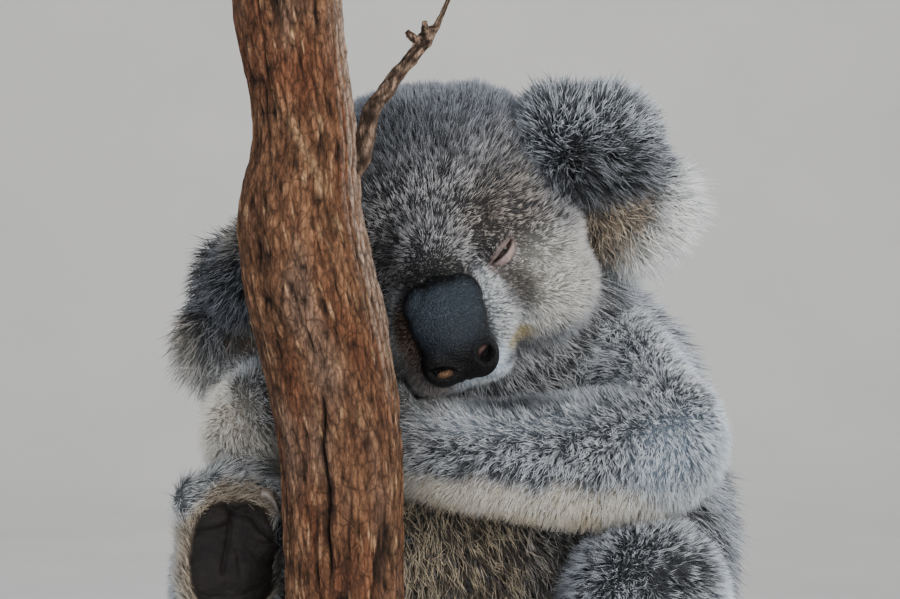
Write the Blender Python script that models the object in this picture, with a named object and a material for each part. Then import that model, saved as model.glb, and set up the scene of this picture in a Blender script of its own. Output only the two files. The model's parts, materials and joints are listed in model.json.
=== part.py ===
"""A koala asleep against its perch, life size, as a still museum model on a plain stand.

Frame: metres, +Z up. The animal faces -Y and its left side is at +X. The origin is the middle of
the stand's underside. Every solid of the animal reaches to the tips of the coat. Body sizes below
are in millimetres, because they are measured on the animal that way, and MM turns them to metres.
"""

import math

import bmesh
import bpy
from mathutils import Matrix, Vector

MM = 0.001
GAP = 0.0004  # clearance between solids that touch
JOINT_GAP = 0.0005  # width of the cut across a joint, over GAP so that the two never coincide
LEFT = 1  # the animal's left is +X
RIGHT = -1

# ---- the stand and the perch -------------------------------------------------------------------
BASE_WIDTH = 0.300
BASE_DEPTH = 0.320
BASE_THICKNESS = 0.018
BASE_CORNER_RADIUS = 0.030
BASE_EDGE_RADIUS = 0.002
BASE_CORNER_STEPS = 4
ROD_RADIUS = 0.009
ROD_SIDES = 24
FRONT_ROD_AT = (-0.046, -0.120)
BACK_ROD_AT = (0.008, 0.060)

TRUNK_Y = -120  # mm, the upright trunk stands this far in front of the origin
TRUNK_FOOT_Z = 76
TRUNK_SIDES = 14
TRUNK_RINGS = 12
# height, side position and radius of the trunk, from its foot to its sawn top
TRUNK_STATIONS = (
    (TRUNK_FOOT_Z, -45, 31),
    (176, -47, 30),
    (276, -51, 29),
    (338, -52, 30.5),
    (386, -58, 32.5),
    (420, -66, 34),
    (463, -73, 31),
    (502, -71, 25.5),
    (552, -77, 26.5),
    (602, -80, 27),
)
KNOT_CENTRE = (-97, TRUNK_Y, 471)
KNOT_RADII = (11, 13, 17)
# x, y, z and radius of the limb that the animal sits on, from inside the trunk to its sawn end
LIMB_STATIONS = (
    (-46, -112, 104, 30),
    (-32, -60, 107, 31),
    (-8, 10, 114, 30),
    (8, 70, 120, 28.5),
    (14, 128, 123, 28),
)
LIMB_RINGS = 7
TWIG_STATIONS = (
    (-50, -120, 478, 6.5),
    (-43, -121, 490, 5.6),
    (-37.5, -121, 511, 4.3),
    (-25.5, -121, 528, 3.6),
    (-13, -120, 544, 3.8),
    (-6, -118, 553, 1.9),
    (0, -116, 567, 1.3),
)
TWIG_SIDES = 6
TWIG_RINGS = 8

# ---- the head ----------------------------------------------------------------------------------
HEAD_CENTRE = Vector((-15, -30, 456)) * MM
HEAD_ROLL = math.radians(17)  # its top leans to the animal's right
HEAD_BOW = math.radians(14)  # its brow leans forward
# centre and radii of each form of the head: side, up, forward
HEAD_FORMS = {
    "skull": ((0, 4, -8), (83, 71, 78)),
    "brow": ((0, 16, 38), (54, 38, 34)),
    "bridge": ((0, 2, 50), (25, 28, 38)),
    "muzzle": ((0, -34, 56), (36, 32, 42)),
    "chin": ((0, -54, 52), (31, 20, 32)),
}
# the forms that stand on both sides, given for the left one
PAIRED_HEAD_FORMS = {
    "cheek": ((44, -41, 13), (41, 37, 46)),
    "crown": ((33, 10, -10), (48, 59, 60)),
    "temple": ((48, -15, 22), (33, 33, 35)),
    "lip": ((14, -55, 64), (15, 16.5, 20)),
}
EAR_FORMS = {
    "disc": ((95, 0, -12), (39, 48, 17)),
    "fringe": ((109, -22, -6), (36, 37, 19)),
    "root": ((75, -4, -14), (27, 34, 19)),
    # the upper half folds forward over the side of the head
    "fold_inner": ((82, 24, 12), (24, 31, 30)),
    "fold_outer": ((101, 18, 12), (31, 32, 27)),
}
# the ear against the trunk is pressed down: narrow above, spread lower down
PRESSED_EAR_FORMS = {
    "disc": ((95, -7, -12), (32, 44, 17)),
    "fringe": ((112, -28, -6), (36, 33, 19)),
    "root": ((75, -11, -14), (27, 34, 19)),
    "fold_inner": ((82, 14, 12), (22, 27, 30)),
    "fold_outer": ((96, 8, 12), (26, 29, 27)),
}
NOSE_FORMS = {
    "leather": ((0, -30, 95), (19.5, 25.5, 14)),
    "lobes": ((0, -40, 98), (19, 15, 13)),
}
NOSTRIL_FORM = ((12.5, -44, 109), (4.5, 6.5, 5))
EYE_CENTRE = (34.6, -8.8, 54.2)
EYE_RADIUS = 9.5

# ---- the body ----------------------------------------------------------------------------------
# centre and radii of each form: x, y, z
TORSO_FORMS = {
    "rump": ((14, 50, 226), (138, 90, 90)),
    "belly": ((14, 42, 286), (153, 94, 132)),
    "chest": ((12, 29, 362), (134, 85, 95)),
    "nape": ((6, 16, 412), (100, 64, 62)),
}
TAIL_FORM = ((14, 124, 176), (17, 16, 18))
NECK_STATIONS = ((6, 23, 396, 78), (-1, 10, 414, 77), (-8, -4, 430, 75))

# x, y, z and radius down each limb. The joints are at the places named under each list
ARM_STATIONS = {
    LEFT: (
        (78, 20, 392, 40),
        (90, -6, 383, 38),
        (101, -36, 362, 38),
        (106, -60, 345, 40),
        (66, -70, 340, 39),
        (25, -78, 341, 33),
        (-4, -79, 344, 29),
        (-20, -75, 345, 24.5),
    ),
    RIGHT: (
        (-60, 26, 394, 38),
        (-76, 12, 384, 43),
        (-94, -18, 364, 39),
        (-102, -42, 350, 32),
        (-100, -60, 360, 27),
        (-92, -73, 370, 24),
        (-84, -76, 370, 20),
    ),
}
ELBOW_STATION = 3
LEG_STATIONS = {
    LEFT: (
        (66, 62, 206, 62),
        (86, 10, 226, 57),
        (97, -40, 256, 50),
        (99, -72, 270, 45),
        (84, -82, 238, 40),
        (62, -86, 210, 33),
        (44, -84, 188, 27),
        (34, -84, 178, 24),
    ),
    RIGHT: (
        (-42, 66, 204, 60),
        (-72, 44, 236, 54),
        (-98, 24, 264, 46),
        (-110, 6, 274, 43),
        (-112, -24, 256, 37),
        (-111, -50, 240, 31),
        (-110, -66, 236, 27),
        (-110, -76, 238, 24),
    ),
}
KNEE_STATION = 3

# A hand or foot: where it is, which way its digits point, and which way its sole or palm faces
HAND_PLACE = {
    LEFT: ((-24, -84, 353), (-1, 0.12, 0.02), (0, -1, 0)),
    RIGHT: ((-76, -84, 366), (1, 0.1, 0.03), (0, -1, 0)),
}
FOOT_PLACE = {
    LEFT: ((22, -98, 202), (-0.12, -0.06, 1), (-0.55, -0.83, 0)),
    RIGHT: ((-111, -82, 290), (0.03, 0.04, 1), (0, -1, 0)),
}
# Forms in the hand's or foot's own axes: across to the inner side, along to the digits, out of the sole
PALM_FORMS = {
    "palm": ((0, 0, -3), (19, 21, 12)),
    "wrist": ((0, -14, -4), (17, 14, 12)),
}
SOLE_FORMS = {
    "heel": ((0, -30, -4), (25, 26, 20)),
    "middle": ((0, -6, -3), (29, 30, 20)),
    "ball": ((1, 16, -4), (31, 26, 18)),
    "instep": ((3, 28, -12), (28, 27, 12)),
}
# each digit: centre, radii and whether it carries a claw
HAND_DIGITS = (
    ((17, 13, 0), (6, 13, 7), True),
    ((9, 21, -1), (6, 14, 7), True),
    ((-3, 24, -1), (6, 14, 7), True),
    ((-13, 20, -1), (6, 14, 7), True),
    ((-20, 6, 0), (6, 12, 7), True),
)
FOOT_DIGITS = (
    ((23, 14, 6), (9, 12, 10), False),
    ((21, 31, 1), (8, 12, 10), True),
    ((8, 35, 0), (8, 11, 10), True),
    ((-6, 36, 0), (9, 12, 10), True),
    ((-20, 30, 1), (9, 13, 10), True),
)
# Each claw's length, the way it leaves the digit, and the way it curls: across, along, out
HAND_CLAW = (13, (0, 1, 0.1), (0, -0.1, 0.5))
FOOT_CLAW = (15, (0, 0.75, 0.75), (0, -0.75, 0.1))
CLAW_RADIUS = 2.6
CLAW_TIP_RADIUS = 0.5
CLAW_DEPTH = 1.3  # a claw is this much deeper than it is wide
CLAW_ROOT = 0.6  # it leaves the digit this share of the way to the digit's tip
CLAW_SIDES = 5
CLAW_RINGS = 3

# ---- how finely the solids are made ------------------------------------------------------------
BODY_VOXEL = 0.0052
HEAD_VOXEL = 0.0042
PAW_VOXEL = 0.0026
BLOB_SUBDIVISIONS = 3
LIMB_BLOBS_PER_SPAN = 6
SMOOTH_UNDER = math.radians(40)  # edges flatter than this are shaded round
TRIANGLES = {
    "head": 610,
    "nose": 170,
    "ear": 150,
    "neck": 70,
    "torso": 380,
    "tail": 40,
    "arm": 230,
    "leg": 210,
    "hand": 110,
    "foot": 270,
}

# ---- colours, as linear red, green and blue ----------------------------------------------------
COAT_GREY = (0.19, 0.20, 0.21)
COAT_DARK = (0.06, 0.06, 0.065)
COAT_BELLY = (0.20, 0.16, 0.11)
NOSE_BLACK = (0.02, 0.022, 0.026)
EYE_BLACK = (0.012, 0.009, 0.008)
BARK_BROWN = (0.24, 0.11, 0.05)
TWIG_BROWN = (0.30, 0.19, 0.10)
STAND_DARK = (0.03, 0.03, 0.032)
ROD_STEEL = (0.55, 0.56, 0.57)


def clear_scene():
    for old in list(bpy.data.objects):
        bpy.data.objects.remove(old, do_unlink=True)


def give_material(obj, colour, roughness, metallic=0.0):
    """A Principled material of the object's own."""
    material = bpy.data.materials.new(obj.name)
    material.use_nodes = True
    shader = material.node_tree.nodes["Principled BSDF"]
    shader.inputs["Base Color"].default_value = (*colour, 1)
    shader.inputs["Roughness"].default_value = roughness
    shader.inputs["Metallic"].default_value = metallic
    obj.data.materials.clear()
    obj.data.materials.append(material)


def object_from(name, bm, turn_outwards=True):
    """Turns a bmesh into an object of the scene."""
    mesh = bpy.data.meshes.new(name)
    if turn_outwards:
        bmesh.ops.recalc_face_normals(bm, faces=bm.faces)
    bm.to_mesh(mesh)
    bm.free()
    obj = bpy.data.objects.new(name, mesh)
    bpy.context.scene.collection.objects.link(obj)
    return obj


def bake_modifiers(obj):
    """Replaces the object's mesh by what its modifiers make of it."""
    bpy.context.view_layer.update()
    graph = bpy.context.evaluated_depsgraph_get()
    made = bpy.data.meshes.new_from_object(obj.evaluated_get(graph))
    obj.modifiers.clear()
    obj.data = made


def add_form(bm, centre, radii, frame=None, subdivisions=BLOB_SUBDIVISIONS):
    """One ellipsoid, its centre and radii in millimetres along the frame's own axes."""
    place = Matrix.Translation(Vector(centre) * MM) @ Matrix.Diagonal((*(Vector(radii) * MM), 1))
    whole = frame @ place if frame else place
    bmesh.ops.create_icosphere(bm, subdivisions=subdivisions, radius=1, matrix=whole)


def on_curve(stations, span, share):
    """A point of the smooth curve through the stations, share of the way along one span."""
    last = len(stations) - 1
    before = Vector(stations[max(span - 1, 0)])
    start = Vector(stations[span])
    end = Vector(stations[min(span + 1, last)])
    after = Vector(stations[min(span + 2, last)])
    square = share * share
    cube = square * share
    return 0.5 * (
        2 * start
        + (end - before) * share
        + (2 * before - 5 * start + 4 * end - after) * square
        + (3 * start - before - 3 * end + after) * cube
    )


def add_limb(bm, stations):
    """A round limb of changing thickness, as a close chain of balls along a smooth curve."""
    for span in range(len(stations) - 1):
        for step in range(LIMB_BLOBS_PER_SPAN):
            x, y, z, radius = on_curve(stations, span, step / LIMB_BLOBS_PER_SPAN)
            add_form(bm, (x, y, z), (radius, radius, radius))
    x, y, z, radius = stations[-1]
    add_form(bm, (x, y, z), (radius, radius, radius))


def fused(name, bm, voxel, triangles, smoothing=5):
    """Runs overlapping forms together into one smooth closed body of about so many triangles."""
    obj = object_from(name, bm)
    remesh = obj.modifiers.new("Fuse", "REMESH")
    remesh.mode = "VOXEL"
    remesh.voxel_size = voxel
    smooth = obj.modifiers.new("Soften", "SMOOTH")
    smooth.factor = 0.5
    smooth.iterations = smoothing
    bake_modifiers(obj)
    triangle_count = sum(len(face.vertices) - 2 for face in obj.data.polygons)
    thin = obj.modifiers.new("Thin", "DECIMATE")
    thin.ratio = min(1, triangles / triangle_count)
    thin.use_collapse_triangulate = True
    bake_modifiers(obj)
    return obj


def lofted(name, stations, sides, rings):
    """A closed round bar through the stations (x, y, z, radius), with flat ends."""
    spans = len(stations) - 1
    places = []
    for ring in range(rings):
        along = spans * ring / (rings - 1)
        span = min(int(along), spans - 1)
        places.append(on_curve(stations, span, along - span))
    bm = bmesh.new()
    loops = []
    for i, place in enumerate(places):
        ahead = places[min(i + 1, rings - 1)].to_3d()
        behind = places[max(i - 1, 0)].to_3d()
        tangent = (ahead - behind).normalized()
        turn = Vector((0, 0, 1)).rotation_difference(tangent).to_matrix()
        loop = []
        for side in range(sides):
            angle = 2 * math.pi * side / sides
            spoke = turn @ Vector((math.cos(angle), math.sin(angle), 0))
            loop.append(bm.verts.new((place.to_3d() + spoke * place[3]) * MM))
        loops.append(loop)
    for low, high in zip(loops, loops[1:]):
        for side in range(sides):
            nxt = (side + 1) % sides
            bm.faces.new((low[side], low[nxt], high[nxt], high[side]))
    bm.faces.new(loops[0])
    bm.faces.new(loops[-1])
    return object_from(name, bm)


def joined(obj, other):
    """Adds another object to this one by a Boolean union, and removes the other."""
    union = obj.modifiers.new("Union", "BOOLEAN")
    union.operation = "UNION"
    union.object = other
    bake_modifiers(obj)
    bpy.data.objects.remove(other)
    return obj


def boxes_meet(one, other, margin=0.002):
    """Whether the two objects' boxes come near each other."""
    for axis in range(3):
        ones = [v.co[axis] for v in one.data.vertices]
        others = [v.co[axis] for v in other.data.vertices]
        if min(ones) > max(others) + margin or min(others) > max(ones) + margin:
            return False
    return True


def grown_copy(obj, by):
    """A copy of the object whose surface stands out by so much, to cut its neighbour with."""
    bm = bmesh.new()
    bm.from_mesh(obj.data)
    bmesh.ops.triangulate(bm, faces=bm.faces)
    bm.normal_update()
    moves = [(v, v.co + v.normal * by * v.calc_shell_factor()) for v in bm.verts]
    for vertex, place in moves:
        vertex.co = place
    cutter = object_from(obj.name + "_cutter", bm, turn_outwards=False)
    cutter.hide_render = True
    cutter.display_type = "WIRE"
    return cutter


def make_room(obj, neighbours):
    """Cuts the neighbours, and the clearance round them, out of this object."""
    for other in neighbours:
        if not boxes_meet(obj, other):
            continue
        cutter = grown_copy(other, GAP)
        cut = obj.modifiers.new("Room", "BOOLEAN")
        cut.operation = "DIFFERENCE"
        cut.object = cutter
        bake_modifiers(obj)
        bpy.data.objects.remove(cutter)
    keep_largest_body(obj)


def keep_largest_body(obj):
    """Drops the crumbs that a cut leaves beside the body."""
    bm = bmesh.new()
    bm.from_mesh(obj.data)
    left = set(bm.verts)
    bodies = []
    while left:
        found = {left.pop()}
        edge = list(found)
        while edge:
            vertex = edge.pop()
            for link in vertex.link_edges:
                other = link.other_vert(vertex)
                if other in left:
                    left.remove(other)
                    found.add(other)
                    edge.append(other)
        bodies.append(found)
    bodies.sort(key=len, reverse=True)
    crumbs = [vertex for body in bodies[1:] for vertex in body]
    bmesh.ops.delete(bm, geom=crumbs, context="VERTS")
    bm.to_mesh(obj.data)
    bm.free()


def clipped(obj, name, point, normal):
    """The part of the object on the side of a plane that normal points away from, closed flat."""
    bm = bmesh.new()
    bm.from_mesh(obj.data)
    everything = bm.verts[:] + bm.edges[:] + bm.faces[:]
    plane_point = point - normal * (JOINT_GAP / 2)
    bmesh.ops.bisect_plane(
        bm, geom=everything, plane_co=plane_point, plane_no=normal, clear_outer=True
    )
    rim = [edge for edge in bm.edges if edge.is_boundary]
    bmesh.ops.holes_fill(bm, edges=rim, sides=0)
    bmesh.ops.triangulate(bm, faces=bm.faces)
    part = object_from(name, bm)
    keep_largest_body(part)
    return part


def parted(whole, stations, cuts, names):
    """Divides a limb across its joints into its named lengths."""
    planes = []
    for at in cuts:
        tangent = Vector(stations[at + 1]).to_3d() - Vector(stations[at - 1]).to_3d()
        planes.append((Vector(stations[at]).to_3d() * MM, tangent.normalized()))
    pieces = []
    rest = whole
    for (point, normal), name in zip(planes, names):
        pieces.append(clipped(rest, name, point, normal))
        further = clipped(rest, names[-1] + "_rest", point, -normal)
        bpy.data.objects.remove(rest)
        rest = further
    rest.name = names[-1]
    pieces.append(rest)
    return pieces


def head_frame():
    """The head's axes: its left side, up and forward."""
    side = Vector((math.cos(HEAD_ROLL), 0, math.sin(HEAD_ROLL)))
    level_up = Vector((-math.sin(HEAD_ROLL), 0, math.cos(HEAD_ROLL)))
    level_forward = Vector((0, -1, 0))
    up = level_up * math.cos(HEAD_BOW) + level_forward * math.sin(HEAD_BOW)
    forward = level_forward * math.cos(HEAD_BOW) - level_up * math.sin(HEAD_BOW)
    return Matrix.Translation(HEAD_CENTRE) @ Matrix((side, up, forward)).transposed().to_4x4()


def paw_frame(place, hand_side):
    """A hand's or foot's axes: across to its inner side, along to its digits, out of its sole."""
    at, along, out = (Vector(v) for v in place)
    along.normalize()
    out = (out - along * out.dot(along)).normalized()
    across = along.cross(out)
    if across.x * hand_side > 0:
        across.negate()
    return Matrix.Translation(at * MM) @ Matrix((across, along, out)).transposed().to_4x4()


def mirrored(centre, side):
    """A centre given for the left side, for this side."""
    return (centre[0] * side, centre[1], centre[2])


def side_name(side):
    return "left" if side == LEFT else "right"


def add_claw(bm, frame, centre, radii, claw):
    """One horn claw that leaves the tip of its digit and hooks over."""
    length, leaves, curls = claw[0], Vector(claw[1]), Vector(claw[2])
    root = Vector(centre) + Vector((0, radii[1] * CLAW_ROOT, 0))
    loops = []
    for ring in range(CLAW_RINGS):
        t = ring / (CLAW_RINGS - 1)
        middle = root + (leaves * t + curls * t * t) * length
        slope = (leaves + 2 * curls * t).normalized()
        thick = Vector((0, -slope.z, slope.y))
        radius = CLAW_RADIUS * (1 - t) + CLAW_TIP_RADIUS * t
        loop = []
        for side in range(CLAW_SIDES):
            angle = 2 * math.pi * side / CLAW_SIDES
            spoke = Vector((math.cos(angle), 0, 0)) + thick * math.sin(angle) * CLAW_DEPTH
            loop.append(bm.verts.new(frame @ ((middle + spoke * radius) * MM)))
        loops.append(loop)
    for low, high in zip(loops, loops[1:]):
        for side in range(CLAW_SIDES):
            nxt = (side + 1) % CLAW_SIDES
            bm.faces.new((low[side], low[nxt], high[nxt], high[side]))
    bm.faces.new(loops[0])
    bm.faces.new(loops[-1])


def make_paw(name, frame, forms, digits, claw, triangles):
    """A hand or foot with its digits, and its claws joined on."""
    bm = bmesh.new()
    for centre, radii in forms.values():
        add_form(bm, centre, radii, frame)
    for centre, radii, _ in digits:
        add_form(bm, centre, radii, frame)
    paw = fused(name, bm, PAW_VOXEL, triangles, smoothing=3)
    claws = bmesh.new()
    for centre, radii, has_claw in digits:
        if has_claw:
            add_claw(claws, frame, centre, radii, claw)
    return joined(paw, object_from(name + "_claws", claws))


def make_head():
    frame = head_frame()
    bm = bmesh.new()
    for centre, radii in HEAD_FORMS.values():
        add_form(bm, centre, radii, frame)
    for centre, radii in PAIRED_HEAD_FORMS.values():
        add_form(bm, mirrored(centre, LEFT), radii, frame)
        add_form(bm, mirrored(centre, RIGHT), radii, frame)
    head = fused("head", bm, HEAD_VOXEL, TRIANGLES["head"], smoothing=8)
    give_material(head, COAT_GREY, 0.9)
    return head


def make_nose():
    """The nose leather with its two nostrils."""
    frame = head_frame()
    bm = bmesh.new()
    for centre, radii in NOSE_FORMS.values():
        add_form(bm, centre, radii, frame)
    nose = fused("nose", bm, HEAD_VOXEL / 2, TRIANGLES["nose"], smoothing=3)
    for side in (LEFT, RIGHT):
        bm = bmesh.new()
        add_form(bm, mirrored(NOSTRIL_FORM[0], side), NOSTRIL_FORM[1], frame, subdivisions=2)
        cutter = object_from("nostril_cutter", bm)
        cutter.hide_render = True
        cutter.display_type = "WIRE"
        cut = nose.modifiers.new("Nostril", "BOOLEAN")
        cut.operation = "DIFFERENCE"
        cut.object = cutter
        bake_modifiers(nose)
        bpy.data.objects.remove(cutter)
    give_material(nose, NOSE_BLACK, 0.55)
    return nose


def make_eye(side):
    bm = bmesh.new()
    centre = Vector(mirrored(EYE_CENTRE, side)) * MM
    place = head_frame() @ Matrix.Translation(centre)
    bmesh.ops.create_icosphere(bm, subdivisions=2, radius=EYE_RADIUS * MM, matrix=place)
    eye = object_from("eye_" + side_name(side), bm)
    give_material(eye, EYE_BLACK, 0.08)
    return eye


def make_ear(side):
    frame = head_frame()
    bm = bmesh.new()
    for centre, radii in (EAR_FORMS if side == LEFT else PRESSED_EAR_FORMS).values():
        add_form(bm, mirrored(centre, side), radii, frame)
    ear = fused("ear_" + side_name(side), bm, HEAD_VOXEL, TRIANGLES["ear"])
    give_material(ear, COAT_DARK, 0.95)
    return ear


def make_limb(stations, cuts, names, triangles):
    """An arm or leg, divided across its joints. The last length stops where the paw begins."""
    bm = bmesh.new()
    add_limb(bm, stations)
    whole = fused(names[0] + "_whole", bm, BODY_VOXEL, triangles)
    pieces = parted(whole, stations, cuts, names)
    for piece in pieces:
        give_material(piece, COAT_GREY, 0.9)
    return pieces


def make_arm(side):
    """Upper arm and forearm, with the hand on the end."""
    suffix = "_" + side_name(side)
    stations = ARM_STATIONS[side]
    hand = make_paw(
        "hand" + suffix,
        paw_frame(HAND_PLACE[side], side),
        PALM_FORMS,
        HAND_DIGITS,
        HAND_CLAW,
        TRIANGLES["hand"],
    )
    give_material(hand, COAT_DARK, 0.8)
    names = ("upper_arm" + suffix, "forearm" + suffix)
    upper, fore = make_limb(stations, (ELBOW_STATION,), names, TRIANGLES["arm"])
    return [hand, fore, upper]


def make_leg(side):
    """Thigh and shin, with the foot on the end."""
    suffix = "_" + side_name(side)
    stations = LEG_STATIONS[side]
    foot = make_paw(
        "foot" + suffix,
        paw_frame(FOOT_PLACE[side], side),
        SOLE_FORMS,
        FOOT_DIGITS,
        FOOT_CLAW,
        TRIANGLES["foot"],
    )
    give_material(foot, COAT_DARK, 0.8)
    names = ("thigh" + suffix, "shin" + suffix)
    thigh, shin = make_limb(stations, (KNEE_STATION,), names, TRIANGLES["leg"])
    return [foot, shin, thigh]


def make_neck():
    bm = bmesh.new()
    add_limb(bm, NECK_STATIONS)
    neck = fused("neck", bm, BODY_VOXEL, TRIANGLES["neck"])
    give_material(neck, COAT_GREY, 0.9)
    return neck


def make_torso():
    bm = bmesh.new()
    for centre, radii in TORSO_FORMS.values():
        add_form(bm, centre, radii)
    torso = fused("torso", bm, BODY_VOXEL, TRIANGLES["torso"], smoothing=25)
    give_material(torso, COAT_BELLY, 0.9)
    return torso


def make_tail():
    """The stump that is all a koala has of a tail."""
    bm = bmesh.new()
    add_form(bm, *TAIL_FORM)
    tail = fused("tail", bm, PAW_VOXEL, TRIANGLES["tail"], smoothing=2)
    give_material(tail, COAT_BELLY, 0.9)
    return tail


def make_perch():
    """The upright trunk with its knot, the limb that serves as seat, and one dead twig."""
    upright = [(x, TRUNK_Y, z, radius) for z, x, radius in TRUNK_STATIONS]
    trunk = lofted("perch_trunk", upright, TRUNK_SIDES, TRUNK_RINGS)
    knot = bmesh.new()
    add_form(knot, KNOT_CENTRE, KNOT_RADII, subdivisions=2)
    trunk = joined(trunk, object_from("knot", knot))
    limb = lofted("perch_limb", LIMB_STATIONS, TRUNK_SIDES, LIMB_RINGS)
    twig = lofted("perch_twig", TWIG_STATIONS, TWIG_SIDES, TWIG_RINGS)
    give_material(trunk, BARK_BROWN, 0.85)
    give_material(limb, BARK_BROWN, 0.85)
    give_material(twig, TWIG_BROWN, 0.85)
    return [trunk, limb, twig]


def make_base():
    """The stand's plate, with round corners and eased edges."""
    bm = bmesh.new()
    size = Matrix.Diagonal((BASE_WIDTH, BASE_DEPTH, BASE_THICKNESS, 1))
    lift = Matrix.Translation((0, 0, BASE_THICKNESS / 2))
    bmesh.ops.create_cube(bm, size=1, matrix=lift @ size)
    half = BASE_THICKNESS / 2
    upright = [e for e in bm.edges if abs(e.verts[0].co.z - e.verts[1].co.z) > half]
    bmesh.ops.bevel(
        bm,
        geom=upright,
        offset=BASE_CORNER_RADIUS,
        segments=BASE_CORNER_STEPS,
        profile=0.5,
        affect="EDGES",
    )
    top = [e for e in bm.edges if min(v.co.z for v in e.verts) > half]
    bmesh.ops.bevel(
        bm, geom=top, offset=BASE_EDGE_RADIUS, segments=2, profile=0.5, affect="EDGES"
    )
    base = object_from("stand_base", bm)
    give_material(base, STAND_DARK, 0.4)
    return base


def make_rod(name, at, top):
    """A steel rod from the base plate up into what it carries."""
    foot = BASE_THICKNESS + GAP
    bm = bmesh.new()
    middle = Matrix.Translation((at[0], at[1], (foot + top) / 2))
    bmesh.ops.create_cone(
        bm,
        cap_ends=True,
        segments=ROD_SIDES,
        radius1=ROD_RADIUS,
        radius2=ROD_RADIUS,
        depth=top - foot,
        matrix=middle,
    )
    rod = object_from(name, bm)
    give_material(rod, ROD_STEEL, 0.3, metallic=1.0)
    return rod


def shade_round(obj):
    obj.data.shade_smooth()
    obj.data.set_sharp_from_angle(angle=SMOOTH_UNDER)


def main():
    clear_scene()
    perch = make_perch()
    front_rod = make_rod("stand_rod_front", FRONT_ROD_AT, TRUNK_FOOT_Z * MM - GAP)
    back_rod = make_rod("stand_rod_back", BACK_ROD_AT, LIMB_STATIONS[3][2] * MM)
    eyes = [make_eye(LEFT), make_eye(RIGHT)]
    ears = [make_ear(LEFT), make_ear(RIGHT)]
    arms = make_arm(LEFT) + make_arm(RIGHT)
    legs = make_leg(LEFT) + make_leg(RIGHT)
    # Each solid is cut back from all those before it, so the order says which keeps its own form.
    order = perch + [make_nose(), *eyes, make_head(), *ears, make_neck(), *legs, make_torso()]
    order += [*arms, make_tail()]
    done = []
    for obj in order:
        make_room(obj, done)
        done.append(obj)
    make_room(back_rod, perch)
    for obj in [*order, make_base(), front_rod, back_rod]:
        shade_round(obj)


main()
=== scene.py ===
import json
import math

import bpy
import numpy as np
from mathutils import Matrix, Vector

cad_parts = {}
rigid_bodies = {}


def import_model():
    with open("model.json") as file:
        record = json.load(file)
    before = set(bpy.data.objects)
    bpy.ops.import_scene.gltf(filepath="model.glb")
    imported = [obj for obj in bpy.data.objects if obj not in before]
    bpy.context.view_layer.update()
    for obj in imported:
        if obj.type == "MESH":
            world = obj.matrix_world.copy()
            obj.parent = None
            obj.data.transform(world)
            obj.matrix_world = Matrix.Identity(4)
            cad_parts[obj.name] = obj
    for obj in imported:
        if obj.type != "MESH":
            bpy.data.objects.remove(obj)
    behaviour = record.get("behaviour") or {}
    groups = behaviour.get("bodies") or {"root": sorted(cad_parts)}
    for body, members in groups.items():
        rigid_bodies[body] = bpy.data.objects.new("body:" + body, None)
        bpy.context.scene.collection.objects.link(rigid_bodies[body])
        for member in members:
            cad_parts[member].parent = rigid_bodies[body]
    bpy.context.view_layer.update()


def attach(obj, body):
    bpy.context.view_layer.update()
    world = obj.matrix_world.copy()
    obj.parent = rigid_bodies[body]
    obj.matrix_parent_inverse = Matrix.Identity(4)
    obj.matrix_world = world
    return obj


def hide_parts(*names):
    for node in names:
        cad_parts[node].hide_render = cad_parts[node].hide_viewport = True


for thing in list(bpy.data.objects):
    bpy.data.objects.remove(thing, do_unlink=True)
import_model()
dice = np.random.default_rng(23)
mm = 0.001  # sizes below are in millimetres unless they say metres
left, right = 1, -1  # the animal's own sides; its left is +X
print("frame loaded")


def linearOf(hexColour):
    # the hex values are as a screen shows them, the shader wants them linear
    parts = [int(hexColour[i:i + 2], 16) / 255 for i in (1, 3, 5)]
    return np.array([p / 12.92 if p <= 0.04045 else ((p + 0.055) / 1.055) ** 2.4 for p in parts])


def addNode(tree, kind, settings=None, links=None, to=None):
    # links: socket and its source; to: the node and socket that the first output feeds
    node = tree.nodes.new(kind)
    for name, value in (settings or {}).items():
        if name == "stops":
            for element, (place, colour) in zip(node.color_ramp.elements, value):
                element.position = place
                element.color = (*linearOf(colour), 1)
        elif isinstance(name, int) or name in node.inputs:
            node.inputs[name].default_value = value
        else:
            setattr(node, name, value)
    for name, (source, output) in (links or {}).items():
        tree.links.new(source.outputs[output], node.inputs[name])
    if to:
        tree.links.new(node.outputs[0], to[0].inputs[to[1]])
    return node


def newMaterial(name, settings):
    # the material, its nodes, its shader and the place in the object
    material = bpy.data.materials.new(name)
    material.use_nodes = True
    tree = material.node_tree
    shader = tree.nodes["Principled BSDF"]
    for socket, value in settings.items():
        shader.inputs[socket].default_value = value
    return material, tree, shader, addNode(tree, "ShaderNodeTexCoord")


def paintedMaterial(name, settings):
    # the same, and the colour that is painted on the piece
    made = newMaterial(name, settings)
    return *made, addNode(made[1], "ShaderNodeAttribute", {"attribute_name": "coatColour"})


def deselectAll():
    if bpy.context.object and bpy.context.object.mode != "OBJECT":
        bpy.ops.object.mode_set(mode="OBJECT")
    bpy.ops.object.select_all(action="DESELECT")


def activate(piece):
    deselectAll()
    piece.select_set(True)
    bpy.context.view_layer.objects.active = piece


def applyModifier(piece, kind, **settings):
    activate(piece)
    modifier = piece.modifiers.new(kind.title(), kind)
    for name, value in settings.items():
        setattr(modifier, name, value)
    bpy.ops.object.modifier_apply(modifier=modifier.name)


def smoothShade(piece, angle=None):
    activate(piece)
    if angle is None:
        bpy.ops.object.shade_smooth()
    else:
        bpy.ops.object.shade_smooth_by_angle(angle=math.radians(angle))


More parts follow.
